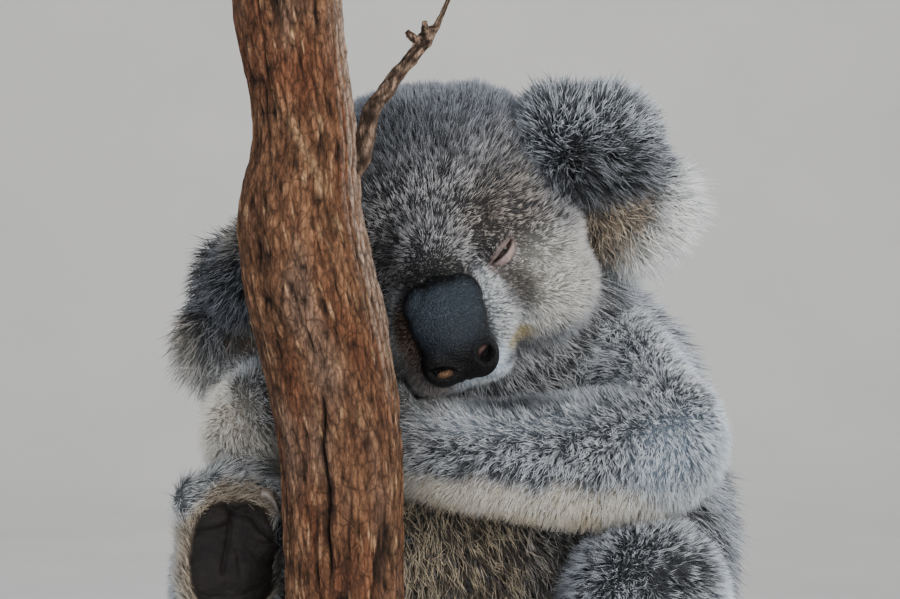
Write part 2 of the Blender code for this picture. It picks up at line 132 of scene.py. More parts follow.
def editSelected(piece, kind, chosen, tool, times=1, **settings):
    # runs one editing tool on the chosen edges or faces alone
    activate(piece)
    layers = {"VERT": piece.data.vertices, "EDGE": piece.data.edges, "FACE": piece.data.polygons}
    for name, layer in layers.items():
        layer.foreach_set("select", chosen if name == kind else np.zeros(len(layer), bool))
    bpy.context.tool_settings.mesh_select_mode = [name == kind for name in layers]
    bpy.ops.object.mode_set(mode="EDIT")
    for _ in range(times):
        tool(**settings)
    bpy.ops.object.mode_set(mode="OBJECT")


def valuesOf(things, key, width=3, kind=np.float32):
    # one row of values for each vertex, face or corner
    found = np.empty(len(things) * width, kind)
    things.foreach_get(key, found)
    return found.reshape(-1, width)


def pointsOf(piece):
    return valuesOf(piece.data.vertices, "co").astype(float) / mm


def normalsOf(piece):
    return valuesOf(piece.data.vertices, "normal").astype(float)


def faceCentres(piece):
    return valuesOf(piece.data.polygons, "center").astype(float) / mm


def uprightEdges(piece):
    heights = pointsOf(piece)[:, 2][valuesOf(piece.data.edges, "vertices", 2, np.int32)]
    return np.abs(heights[:, 0] - heights[:, 1]) > 1


def setPoints(piece, points):
    piece.data.vertices.foreach_set("co", (points * mm).astype(np.float32).ravel())
    piece.data.update()


def paint(piece, colours):
    layer = piece.data.attributes.new("coatColour", "FLOAT_COLOR", "POINT")
    full = np.ones((len(colours), 4), np.float32)
    full[:, :3] = colours
    layer.data.foreach_set("color", full.ravel())


def newObject(name, data):
    thing = bpy.data.objects.new(name, data)
    bpy.context.scene.collection.objects.link(thing)
    return thing


def meshPiece(name, points, triangles):
    # points in millimetres, triangles as rows of three
    mesh = bpy.data.meshes.new(name)
    mesh.vertices.add(len(points))
    mesh.vertices.foreach_set("co", (points * mm).astype(np.float32).ravel())
    mesh.loops.add(triangles.size)
    mesh.loops.foreach_set("vertex_index", triangles.astype(np.int32).ravel())
    mesh.polygons.add(len(triangles))
    mesh.polygons.foreach_set("loop_start", np.arange(0, triangles.size, 3, dtype=np.int32))
    mesh.polygons.foreach_set("use_smooth", np.ones(len(triangles), bool))
    mesh.update(calc_edges=True)
    return newObject(name, mesh)


def finishPiece(piece, material, slotName, *nodes):
    piece.data.materials.clear()
    piece.data.materials.append(material)
    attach(piece, "root")
    if nodes:
        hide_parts(*nodes)


def ease(value, low, high):
    share = np.clip((value - low) / (high - low), 0, 1)
    return share * share * (3 - 2 * share)


def bell(value, width):
    # 1 at nought, falling away over the width on both sides
    return np.exp(-(value / width) ** 2)


def unit(vectors):
    return vectors / np.maximum(np.linalg.norm(vectors, axis=-1, keepdims=True), 1e-9)


def tiled(hexColour, count):
    return np.tile(linearOf(hexColour), (count, 1))


def mixed(one, other, share):
    return one + (other - one) * np.asarray(share)[..., None]


def latticeValue(cells, seed):
    n = cells[:, 0] * 374761393 + cells[:, 1] * 668265263 + cells[:, 2] * 2147483629 + seed * 1274126177
    n = (n ^ (n >> 13)) * 1274126177
    n = n ^ (n >> 16)
    return (n & 0xFFFF) / 32767.5 - 1


def noiseAt(points, cell, seed=0, octaves=1):
    # smooth random values from about -1 to 1, with lumps about a cell across
    total, weight = 0, 1.0
    for octave in range(octaves):
        scaled = points / cell
        base = np.floor(scaled).astype(np.int64)
        share = scaled - base
        share = share * share * (3 - 2 * share)
        for corner in range(8):
            step = np.array([(corner >> k) & 1 for k in range(3)])
            part = np.prod(np.where(step, share, 1 - share), axis=1)
            total = total + part * latticeValue(base + step, seed + octave) * weight
        cell, weight = cell / 2, weight / 2
    return total


# axes of the head and of each paw: rows are across, up or along, and out
headPose = {"centre": (-15, -30, 456), "roll": 17, "bow": 14}


def headAxes():
    roll, bow = math.radians(headPose["roll"]), math.radians(headPose["bow"])
    side = np.array([math.cos(roll), 0, math.sin(roll)])
    levelUp = np.array([-math.sin(roll), 0, math.cos(roll)])
    levelOut = np.array([0, -1, 0])
    up = levelUp * math.cos(bow) + levelOut * math.sin(bow)
    return np.array([side, up, levelOut * math.cos(bow) - levelUp * math.sin(bow)])


def pawAxes(along, out, pawSide):
    along = unit(np.array(along, float))
    out = np.array(out, float)
    out = unit(out - along * out.dot(along))
    across = np.cross(along, out)
    return np.array([-across if across[0] * pawSide > 0 else across, along, out])


pawPlaces = {
    "hand_left": ((-24, -84, 353), (-1, 0.12, 0.02), (0, -1, 0), left),
    "hand_right": ((-76, -84, 366), (1, 0.1, 0.03), (0, -1, 0), right),
    "foot_left": ((22, -98, 202), (-0.12, -0.06, 1), (-0.55, -0.83, 0), left),
    "foot_right": ((-111, -82, 290), (0.03, 0.04, 1), (0, -1, 0), right),
}
places = {"head": (np.array(headPose["centre"], float), headAxes())}
for name, (at, along, out, pawSide) in pawPlaces.items():
    places[name] = (np.array(at, float), pawAxes(along, out, pawSide))
hands, feet, ears = (("hand_left", "hand_right"), ("foot_left", "foot_right"), ("ear_left", "ear_right"))


def intoPlace(points, name):
    centre, axes = places[name]
    return (points - centre) @ axes.T


def outOfPlace(points, name):
    centre, axes = places[name]
    return points @ axes + centre


def facingIn(normals, name):
    return normals @ places[name][1].T


def folded(head):
    # both halves of the head laid over each other
    return np.column_stack([np.abs(head[:, 0]), head[:, 1:]])


# the animal's forms: centre, radii to the coat's tips, and how deep the coat is there
headForms = [
    ((0, 4, -8), (83, 71, 78), (6, 5, 3.5)),
    ((0, 16, 38), (54, 38, 34), 3.5),
    ((0, 2, 50), (25, 28, 38), 2.5),
    ((0, -34, 56), (36, 32, 42), 2.5),
    ((0, -54, 52), (31, 20, 32), 3),
]
pairedHeadForms = [
    ((44, -41, 14), (41, 36, 46), (7.5, 8.5, 6)),
    ((33, 10, -10), (48, 59, 60), 5.5),
    ((27, -28, 38), (28, 30, 26), 4),
    ((24, 2, 42), (26, 26, 26), 4),
    ((48, -15, 22), (33, 33, 35), 4.5),
    ((14, -55, 64), (15, 16.5, 20), 2.2),
]
earForms = [
    ((95, 0, -12), (39, 48, 17), (8, 8, 6)),
    ((107, -21, -7), (36, 37, 18), (9, 10, 6)),
    ((75, -4, -14), (27, 34, 19), (5, 6, 6)),
    ((82, 24, 12), (24, 31, 30), (5, 6, 6)),
    ((101, 18, 12), (31, 32, 27), (7, 7, 6)),
]
# the ear against the trunk is pressed down: narrow above, spread lower down
pressedEarForms = [
    ((97, -12, -12), (33, 42, 17), (9, 10, 6)),
    ((110, -27, -7), (34, 34, 18), (9, 10, 6)),
    ((75, -11, -14), (27, 34, 19), (5, 6, 6)),
    ((80, 11, 12), (22, 26, 30), (7, 8, 6)),
    ((92, 2, 12), (24, 26, 27), (9, 9, 6)),
]
earDroop = {left: 0, right: 7}  # how far each ear's cup hangs
bodyForms = {
    "torso": [
        ((14, 50, 226), (138, 90, 90), 13),
        ((14, 42, 286), (153, 94, 132), 13),
        ((12, 29, 362), (134, 85, 95), 12),
        ((6, 16, 412), (100, 64, 62), 10),
    ],
    "tail": [((14, 124, 176), (17, 16, 18), 7)],
}
handForms = [
    ((0, 0, -2), (19, 21, 12), 2.5),
    ((0, -14, -3), (17, 14, 12), 3),
    ((17, 13, 0), (6, 13, 7), 1.4),
    ((9, 21, -1), (6, 14, 7), 1.4),
    ((-3, 24, -1), (6, 14, 7), 1.4),
    ((-13, 20, -1), (6, 14, 7), 1.4),
    ((-20, 6, 0), (6, 12, 7), 1.4),
]
footForms = [
    ((0, -30, -1.5), (25, 26, 20), (3.5, 3.5, 2.5)),
    ((0, -6, -0.5), (29, 30, 20), (3.5, 3, 2.5)),
    ((1, 16, -1.5), (31, 26, 18), (3.5, 3, 2.5)),
    ((3, 28, -11), (28, 27, 12), 3.5),
    ((23, 14, 6), (9, 12, 10), 1.6),
    ((21, 31, 1), (8, 12, 10), 1.8),
    ((8, 35, 0), (8, 11, 10), 1.8),
    ((-6, 36, 0), (9, 12, 10), 1.8),
    ((-20, 30, 1), (9, 13, 10), 1.8),
]
# x, y, z, radius to the coat's tips and coat depth down each limb
limbs = {
    "neck": [(6, 23, 396, 78, 10), (-1, 10, 414, 77, 10), (-8, -4, 430, 75, 10)],
    "arm_left": [
        (78, 20, 392, 40, 12), (90, -6, 383, 38, 11), (101, -36, 362, 38, 10), (106, -60, 345, 40, 10),
        (66, -70, 340, 39, 9.5), (25, -78, 341, 33, 8), (-4, -79, 344, 29, 6.5), (-20, -75, 345, 24.5, 5),
    ],
    "arm_right": [
        (-60, 26, 394, 38, 11), (-76, 12, 384, 43, 11), (-94, -18, 364, 39, 10), (-102, -42, 350, 32, 9),
        (-100, -60, 360, 27, 8), (-92, -73, 370, 24, 7), (-84, -76, 370, 20, 5),
    ],
    "leg_left": [
        (66, 62, 206, 62, 13), (86, 10, 226, 57, 12), (97, -40, 256, 50, 11), (99, -72, 270, 45, 10),
        (84, -82, 238, 40, 10), (62, -86, 210, 33, 8), (44, -84, 188, 27, 6), (34, -84, 178, 24, 4),
    ],
    "leg_right": [
        (-42, 66, 204, 60, 13), (-72, 44, 236, 54, 12), (-98, 24, 264, 46, 11), (-110, 6, 274, 43, 10),
        (-112, -24, 256, 37, 9), (-111, -50, 240, 31, 8), (-110, -66, 236, 27, 6), (-110, -76, 238, 24, 4),
    ],
}


def smoothRoute(stations, steps):
    # closely spaced stations on the smooth curve through the given ones
    given = np.array(stations, float)
    made = []
    for span in range(len(given) - 1):
        before, start = given[max(span - 1, 0)], given[span]
        end, after = given[span + 1], given[min(span + 2, len(given) - 1)]
        for step in range(steps):
            t = step / steps
            made.append(0.5 * (2 * start + (end - before) * t
                               + (2 * before - 5 * start + 4 * end - after) * t * t
                               + (3 * start - before - 3 * end + after) * t ** 3))
    made.append(given[-1])
    return np.array(made)


limbRoutes = {name: smoothRoute(stations, 5) for name, stations in limbs.items()}
skinSettings = {"depthShare": 0.85, "voxel": 2.85, "softening": 4, "broadSoftening": 10,
                "bigBall": 30, "ballDetail": 3, "smallDetail": 2}


def allForms():
    # every ball of the skin as part, place, centre and radii, with most of the coat's depth taken off
    made, depthShare = [], skinSettings["depthShare"]

    def add(part, place, centre, radii, depth):
        made.append((part, place, np.array(centre, float), np.array(radii, float) - np.array(depth) * depthShare))

    for centre, radii, depth in headForms:
        add("head", "head", centre, radii, depth)
    for side, ear, earBalls in ((left, "ear_left", earForms), (right, "ear_right", pressedEarForms)):
        for part, balls in (("head", pairedHeadForms), (ear, earBalls)):
            for centre, radii, depth in balls:
                add(part, "head", np.array(centre) * (side, 1, 1), radii, depth)
    for part, forms in bodyForms.items():
        for centre, radii, depth in forms:
            add(part, None, centre, radii, depth)
    for paw in pawPlaces:
        for centre, radii, depth in (handForms if paw.startswith("hand") else footForms):
            add(paw, paw, centre, radii, depth)
    for limb, route in limbRoutes.items():
        for x, y, z, radius, depth in route:
            add(limb, None, (x, y, z), (radius,) * 3, depth)
    return made


forms = allForms()
partNames = sorted({form[0] for form in forms})


def addBall(place, centre, radii, detail):
    centre, turn = np.array(centre, float), Matrix.Identity(3)
    if place:
        centre = outOfPlace(centre, place)
        turn = Matrix(places[place][1].T.tolist())
        if turn.determinant() < 0:
            turn = turn @ Matrix.Diagonal((-1, 1, 1))
    bpy.ops.mesh.primitive_ico_sphere_add(subdivisions=detail, radius=1, location=centre * mm,
                                          rotation=turn.to_euler(), scale=np.array(radii, float) * mm)


def meltedBalls(name, balls, voxel, softening):
    # balls that are joined in one object and run together
    deselectAll()
    for i, ball in enumerate(balls):
        addBall(*ball)
        if i == 0:
            piece = bpy.context.object
            bpy.ops.object.transform_apply(location=True, rotation=True, scale=True)
            bpy.ops.object.mode_set(mode="EDIT")
    bpy.ops.object.mode_set(mode="OBJECT")
    piece.name = piece.data.name = name
    applyModifier(piece, "REMESH", mode="VOXEL", voxel_size=voxel * mm)
    applyModifier(piece, "SMOOTH", factor=0.5, iterations=softening)
    return piece


def partGaps(points):
    # how far each point is outside each part, roughly, in millimetres
    gaps = {part: np.full(len(points), 1e3) for part in partNames}
    local = {None: points}
    for place in places:
        local[place] = intoPlace(points, place)
    for part, place, centre, radii in forms:
        reach = np.linalg.norm((local[place] - centre) / radii, axis=1)
        gaps[part] = np.minimum(gaps[part], (reach - 1) * radii.min())
    return gaps


def buildSkin():
    details = {True: skinSettings["ballDetail"], False: skinSettings["smallDetail"]}
    balls = [(place, centre, radii, details[radii.max() > skinSettings["bigBall"]])
             for _, place, centre, radii in forms]
    body = meltedBalls("koala_skin", balls, skinSettings["voxel"], skinSettings["softening"])
    # the broad forms run together softly, while paws and ears keep their own shape
    gaps = partGaps(pointsOf(body))
    fine = np.min([gaps[part] for part in (*hands, *feet, *ears)], axis=0)
    group = body.vertex_groups.new(name="broad")
    weights = np.round(ease(fine, 1, 10) * 10).astype(int)
    for level in range(1, 11):
        group.add(np.flatnonzero(weights == level).tolist(), level / 10, "REPLACE")
    applyModifier(body, "SMOOTH", factor=0.5, iterations=skinSettings["broadSoftening"], vertex_group="broad")
    body.vertex_groups.clear()
    return body


# the eyes and their lids, in the head's axes; the slit rises outwards
eye = {"centre": (33.8, -8.8, 54.2), "ball": 9.0, "axis": (0.43, -0.08, 0.9), "slant": 28,
       "halfLength": 7.4, "halfOpen": 0.95, "bow": 0.9, "lid": 1.0,
       # folds over and under the lids: distance from the slit and depth
       "folds": [(3.0, 0.45), (4.6, 0.35), (-3.9, 0.4)]}


def eyeAxes(side):
    out = unit(np.array(eye["axis"]))
    across = np.array([1.0, 0, 0])
    across = unit(across - out * across.dot(out))
    up = np.cross(out, across)
    slant = math.radians(eye["slant"])
    rows = np.array([across * math.cos(slant) + up * math.sin(slant),
                     up * math.cos(slant) - across * math.sin(slant), out])
    rows[:, 0] *= side
    return rows


def eyeCoordinates(headPoints, side):
    # arc lengths along and across the slit, distance from the eye's centre and the outward share
    centre = np.array(eye["centre"]) * (side, 1, 1)
    offset = headPoints - centre
    reach = np.linalg.norm(offset, axis=1)
    seen = (offset / np.maximum(reach, 1e-6)[:, None]) @ eyeAxes(side).T
    return seen[:, 0] * eye["ball"], seen[:, 1] * eye["ball"], reach, seen[:, 2]


def slitAt(along, over):
    # height over the slit's bowed middle line, and distance outside its opening
    rest = 1 - (along / eye["halfLength"]) ** 2
    above = over - eye["bow"] * rest
    return above, np.abs(above) - eye["halfOpen"] * np.sqrt(np.clip(rest, 0, 1))


def shapeLids(headPoints):
    for side in (left, right):
        centre = np.array(eye["centre"]) * (side, 1, 1)
        along, over, reach, out = eyeCoordinates(headPoints, side)
        near = (reach < 19) & (out > 0.05)
        above, edge = slitAt(along, over)
        lidReach = eye["ball"] + eye["lid"] + 0.4 * bell(edge - 0.8, 0.6)
        for fold, depth in eye["folds"]:
            lidReach -= depth * bell(above - fold + 0.05 * along, 0.42)
        lidReach -= 1.2
        blended = 0.5 * (reach + lidReach + np.sqrt((reach - lidReach) ** 2 + 9.0))
        inside = (1 - ease(edge, -0.25, 0.5)) * (np.abs(along) < eye["halfLength"])
        made = blended * (1 - inside) + (eye["ball"] - 1.4) * inside
        made = np.where(near, made, reach)
        headPoints = centre + (headPoints - centre) * (made / np.maximum(reach, 1e-6))[:, None]
    return headPoints


# creases of the sole, in the foot's own axes: points of each and its depth
soleCreases = [
    ([(-24, 11), (-16, 14), (-6, 15.5), (1, 18.5)], 1.5),
    ([(2.7, 24), (1.5, 14), (0.4, 5), (-0.7, -5)], 1.8),
    ([(4, 25), (11, 24), (18, 15.5), (25, 10.5)], 1.6),
    ([(-4, 32), (0, 27), (5, 25.5), (12, 30)], 1.3),
    ([(5.2, 8), (7, 1), (8.6, -6)], 0.7),
    ([(-20, -12), (-8, -17), (6, -17), (20, -11)], 0.6),
]
# swollen pads between the creases: centre, radii and height of each
solePads = [((-8, 22), (12, 8.5), 2.6), ((8, 27.5), (7, 4.5), 2.2), ((18, 19), (8.5, 9), 2.6),
            ((-9, -2), (12, 16), 1.4), ((13, -1), (12, 18), 1.4), ((3, -24), (19, 10), 1.2)]


def distanceToRoute(flat, route):
    best = np.full(len(flat), 1e3)
    for start, end in zip(route, route[1:]):
        start, end = np.array(start, float), np.array(end, float)
        run = end - start
        t = np.clip((flat - start) @ run / run.dot(run), 0, 1)
        best = np.minimum(best, np.linalg.norm(flat - (start + t[:, None] * run), axis=1))
    return best


def soleShare(footPoints, footNormals):
    # 1 on the bare sole, 0 on the furred foot
    reach = np.sqrt(((footPoints[:, 0] - 4) / 22) ** 2 + ((footPoints[:, 1] - 1) / 37) ** 2)
    wobble = noiseAt(footPoints, 5, 41) * 0.05
    bare = (1 - ease(reach + wobble, 0.92, 1.04)) * ease(footNormals[:, 2], 0.15, 0.45)
    return bare * (1 - ease(footPoints[:, 1] + 0.012 * (footPoints[:, 0] - 4) ** 2, 28, 32))


def refineSkin(body):
    # splits the faces finer where a fold is shaped: the eyes, the mouth and the soles
    def refine(chosen, cuts):
        editSelected(body, "FACE", chosen, bpy.ops.mesh.subdivide, number_cuts=cuts)

    for reach, cuts in ((15.5, 3), (10, 1)):
        head = folded(intoPlace(faceCentres(body), "head"))
        refine(np.linalg.norm(head - np.array(eye["centre"]), axis=1) < reach, cuts)
    head = intoPlace(faceCentres(body), "head")
    refine((np.abs(head[:, 0]) < 30) & (head[:, 1] < -50) & (head[:, 1] > -76) & (head[:, 2] > 62), 1)
    centres, normals = faceCentres(body), valuesOf(body.data.polygons, "normal")
    onSole = np.zeros(len(centres), bool)
    for foot in feet:
        local = intoPlace(centres, foot)
        onSole |= (np.abs(local[:, 0]) < 34) & (np.abs(local[:, 1]) < 46) & (local[:, 2] > 0) & (
            local[:, 2] < 24) & (facingIn(normals, foot)[:, 2] > 0.1)
    refine(onSole, 2)


def shapeSkin(body):
    refineSkin(body)
    points, outward = pointsOf(body), normalsOf(body)
    gaps = partGaps(points)
    inHead = intoPlace(points, "head")
    headOut = facingIn(outward, "head")
    # cups of the ears
    for side, ear in zip((left, right), ears):
        across = (inHead[:, 0] * side - 98) / 24
        up = (inHead[:, 1] + 12 + earDroop[side]) / 30
        bowl = 5.5 * np.clip(1 - across ** 2 - up ** 2, 0, 1) * ease(headOut[:, 2], 0.1, 0.6)
        inHead[:, 2] -= bowl * (gaps[ear] < 3)
    # closed lips: a shallow line under the nose that runs back and down on each side
    lipLine = -63.5 - 0.012 * inHead[:, 0] ** 2
    lips = bell(inHead[:, 1] - lipLine, 1.6) * ease(inHead[:, 2], 62, 74) * (
        1 - ease(np.abs(inHead[:, 0]), 20, 28))
    inHead[:, 2] -= 2.2 * lips * (np.abs(inHead[:, 0]) < 30)
    points = outOfPlace(shapeLids(inHead), "head")
    for foot in feet:
        local = intoPlace(points, foot)
        isSole = soleShare(local, facingIn(outward, foot)) * (gaps[foot] < 4)
        sunk = np.zeros(len(points))
        for route, depth in soleCreases:
            away = distanceToRoute(local[:, :2], route)
            sunk += depth * (1.1 * bell(away, 0.8) + 0.55 * bell(away, 2.6))
        for centre, radii, height in solePads:
            inPad = 1 - (((local[:, :2] - centre) / radii) ** 2).sum(axis=1)
            sunk -= height * np.sqrt(np.clip(inPad, 0, 1))
        sunk += 0.25 * noiseAt(local, 2.4, 44, 2)
        local[:, 2] -= sunk * isSole * (np.abs(local[:, 2]) < 24)
        local[:, 2] += 0.6 * isSole
        points = np.where((isSole > 0)[:, None], outOfPlace(local, foot), points)
    setPoints(body, points)
    smoothShade(body)


skin = buildSkin()
shapeSkin(skin)
print("skin shaped:", len(skin.data.polygons), "faces")


# the coat of each part: a tuft's length and width in millimetres, its lift at the root and towards the tip in
# degrees, tufts to a square centimetre, size of clumps, how far their tips are drawn together, size of flecks
coatValues = ("length", "width", "liftRoot", "liftTip", "density", "clump", "pull", "fleck")
coats = {
    "head": (6.6, 0.49, 56, 40, 144, 2.2, 0.45, 1.4),
    "ear": (13, 0.62, 50, 34, 114, 3.2, 0.5, 2.1),
    "torso": (15, 0.87, 56, 32, 50, 4, 0.5, 2.3),
    "tail": (12, 0.8, 54, 30, 60, 4, 0.4, 2.3),
    "neck": (13, 0.8, 56, 32, 58, 4, 0.45, 2.2),
    "arm": (8.2, 0.53, 58, 40, 152, 2.6, 0.58, 1.6),
    "leg": (9.5, 0.64, 60, 42, 97, 4, 0.66, 2.3),
    "hand": (6.5, 0.48, 44, 22, 120, 2.6, 0.35, 1.5),
    "foot": (8, 0.48, 40, 16, 136, 2.6, 0.35, 1.6),
}
noseCentre = np.array([0, -32, 92.0])
noseRadii = np.array([20.5, 27, 22])
down = np.array([0, 0, -1.0])


def coatFor(part):
    return coats[part if part in coats else part.split("_")[0]]


def limbFlow(part, points):
    # along the limb's route, with the fall of the coat over its upper end
    route = limbRoutes[part]
    side = 1 if part.endswith("left") else -1
    tangents = unit(np.gradient(route[:, :3], axis=0))
    gaps = [np.linalg.norm(points - station[:3], axis=1) - station[3] for station in route]
    index = np.argmin(gaps, axis=0)
    share = index / (len(route) - 1)
    if part.startswith("arm"):
        # down the upper arm and round the elbow, then along the forearm
        weight = (0.42 + 0.58 * ease(share, 0.5, 0.95))[:, None]
        turned = np.array([-0.4 * side, 0, 0]) * (1 - ease(share, 0.5, 0.8))[:, None]
        return unit(tangents[index] * weight + turned + down * (1.05 - 0.8 * weight))
    # over the knee the coat runs outwards and down, on the shin along it
    weight = 0.95 * ease(share, 0.55, 0.9)[:, None]
    overKnee = down + np.array([0.55 * side, -0.5, 0]) * (1 - weight)
    return unit(tangents[index] * weight + overKnee * (1.05 - 0.8 * weight))


def pawFlow(paw, points):
    local = intoPlace(points, paw)
    lie = np.tile([0, 1, 0.25], (len(points), 1))
    if paw in feet:
        # over the bent toes the coat runs across, then droops at the outer end
        arch = ease(local[:, 1], 14, 32)
        across = 1.0 if paw == "foot_right" else -1.0
        lie[:, 0] = across * 1.25 * arch
        lie[:, 1] = 1 - 1.0 * arch - 1.1 * arch * ease(across * local[:, 0], 8, 26)
        lie[:, 2] = 0.25 + 0.2 * arch
    return unit(lie @ places[paw][1])


def headFlow(part, points):
    # away from the nose over the face, and out from the root of each ear
    local = intoPlace(points, "head")
    if part == "head":
        lie = unit(local - np.array([0, -14, 96]))
        lie[:, 1] -= 0.35 * ease(-local[:, 1], 25, 60)
        lie[:, 2] -= 0.3
    else:
        side = left if part == "ear_left" else right
        lie = unit(local - np.array([77 * side, 10 - earDroop[side], -4])) * (1, 1, 0.6)
        lie[:, 1] -= 0.12 if side == left else 0.7
    return unit(lie @ places["head"][1])


def flowOf(part, points):
    # which way the coat lies on each part, as a vector at each point
    if part == "head" or part in ears:
        return headFlow(part, points)
    if part in pawPlaces:
        return pawFlow(part, points)
    if part in limbRoutes and part != "neck":
        return limbFlow(part, points)
    lie = down + 0.2 * unit((points - np.array([10, 30, 0])) * (1, 1, 0))
    if part == "torso":
        lie = lie + ease(-points[:, 1], 10, 50)[:, None] * np.array([0.55, 0, 0.1])
    return unit(lie)


blendWidth = 4.0  # millimetres over which one part's coat turns into the next one's


def blendedParts(points):
    gaps = partGaps(points)
    nearest = np.min(list(gaps.values()), axis=0)
    weights = {part: np.exp(-(gap - nearest) / blendWidth) for part, gap in gaps.items()}
    total = sum(weights.values())
    return {part: weight / total for part, weight in weights.items()}


# markings: hex of the coat's depth, of its dark and its pale tips, and the pale tips' share
markings = {
    "creamEdge": ("#8d7c62", "#a8967a", "#f0dcb8", 0.94),
    # painted rim light along the outer side of the left arm and body
    "paintedRimLight": ("#6a7886", "#93a4b5", "#e6f1fc", 0.9),
    # painted shade in the gaps where parts meet
    "creaseShade": ("#070809", "#0c0d0f", "#26292c", 0.12),
    "grey": ("#232528", "#313438", "#c4cad1", 0.57),
    "armGrey": ("#25282c", "#33373c", "#e2e8ee", 0.6),
    "back": ("#2b2a29", "#383632", "#b3b2ac", 0.52),
    "rump": ("#34322f", "#48443e", "#dcd8cc", 0.62),
    "belly": ("#2f2922", "#463b2f", "#d2c2a6", 0.56),
    "sideBelly": ("#26262a", "#34363a", "#bfc1c2", 0.5),
    # painted shade on the chest under the head
    "chest": ("#2c2e31", "#404347", "#b4b8bb", 0.6),
    "cream": ("#b8ae9b", "#d5cbb7", "#fff9ea", 1.0),
    "flank": ("#66645d", "#8a887e", "#dcdacf", 0.85),
    "forehead": ("#151517", "#1d1d1f", "#c2c3c6", 0.46),
    "brow": ("#1d1815", "#2b2520", "#beb2a3", 0.48),
    "crown": ("#121316", "#1b1e22", "#8d949d", 0.4),
    "noseTop": ("#141416", "#1d1d20", "#8b8c86", 0.36),
    "beside": ("#2b1f19", "#46342a", "#9c8473", 0.45),
    "paleFace": ("#4f565b", "#69717a", "#f6fbff", 0.83),
    "darkPatch": ("#161311", "#221d1b", "#8c847c", 0.3),
    "cheek": ("#6b6a65", "#8a8983", "#e9eae5", 0.84),
    "chin": ("#94a5b6", "#b4c4d3", "#eef7ff", 0.97),
    "stain": ("#5f4f22", "#8d7834", "#cdb76a", 0.88),
    "earDark": ("#0d0e10", "#15171a", "#8b9198", 0.33),
    "earTip": ("#26292e", "#3d4147", "#c2cad1", 0.55),
    "earInner": ("#4c4135", "#6d5f4f", "#bfb19c", 0.6),
    "earFringe": ("#8d908f", "#b0b4b4", "#f0f3f2", 0.92),
    "paw": ("#4d4942", "#726d63", "#d2cbbd", 0.76),
    "pawInner": ("#584e42", "#746758", "#cfc0a8", 0.76),
    "arch": ("#43474a", "#63676a", "#e6e9e9", 0.78),
    # painted shade under the cheek
    "cheekUnderShade": ("#26292d", "#3a3e43", "#b4bbc1", 0.58),
    # partly pale fur, partly painted sky light on the arm's top
    "wrist": ("#76828d", "#a6b2bd", "#f6fbff", 0.93),
    "earTipBrown": ("#2a2720", "#423d33", "#ab9f8a", 0.52),
}
bareColours = {"pad": "#131110", "padLight": "#1e1a18", "lid": "#8b7b78", "lidUpper": "#5d534e",
               "lidEdge": "#120c0c"}


def inBand(value, low, fullFrom, fullTo, high):
    return ease(value, low, fullFrom) * (1 - ease(value, fullTo, high))


def blob(points, centre, radii, soft):
    # 1 inside an ellipsoid, falling to 0 outside it
    reach = np.linalg.norm((points - np.array(centre)) / np.array(radii), axis=1)
    return 1 - ease(reach, 1 - soft, 1 + soft)


def earHang(head):
    return np.where(head[:, 0] > 0, earDroop[left], earDroop[right])


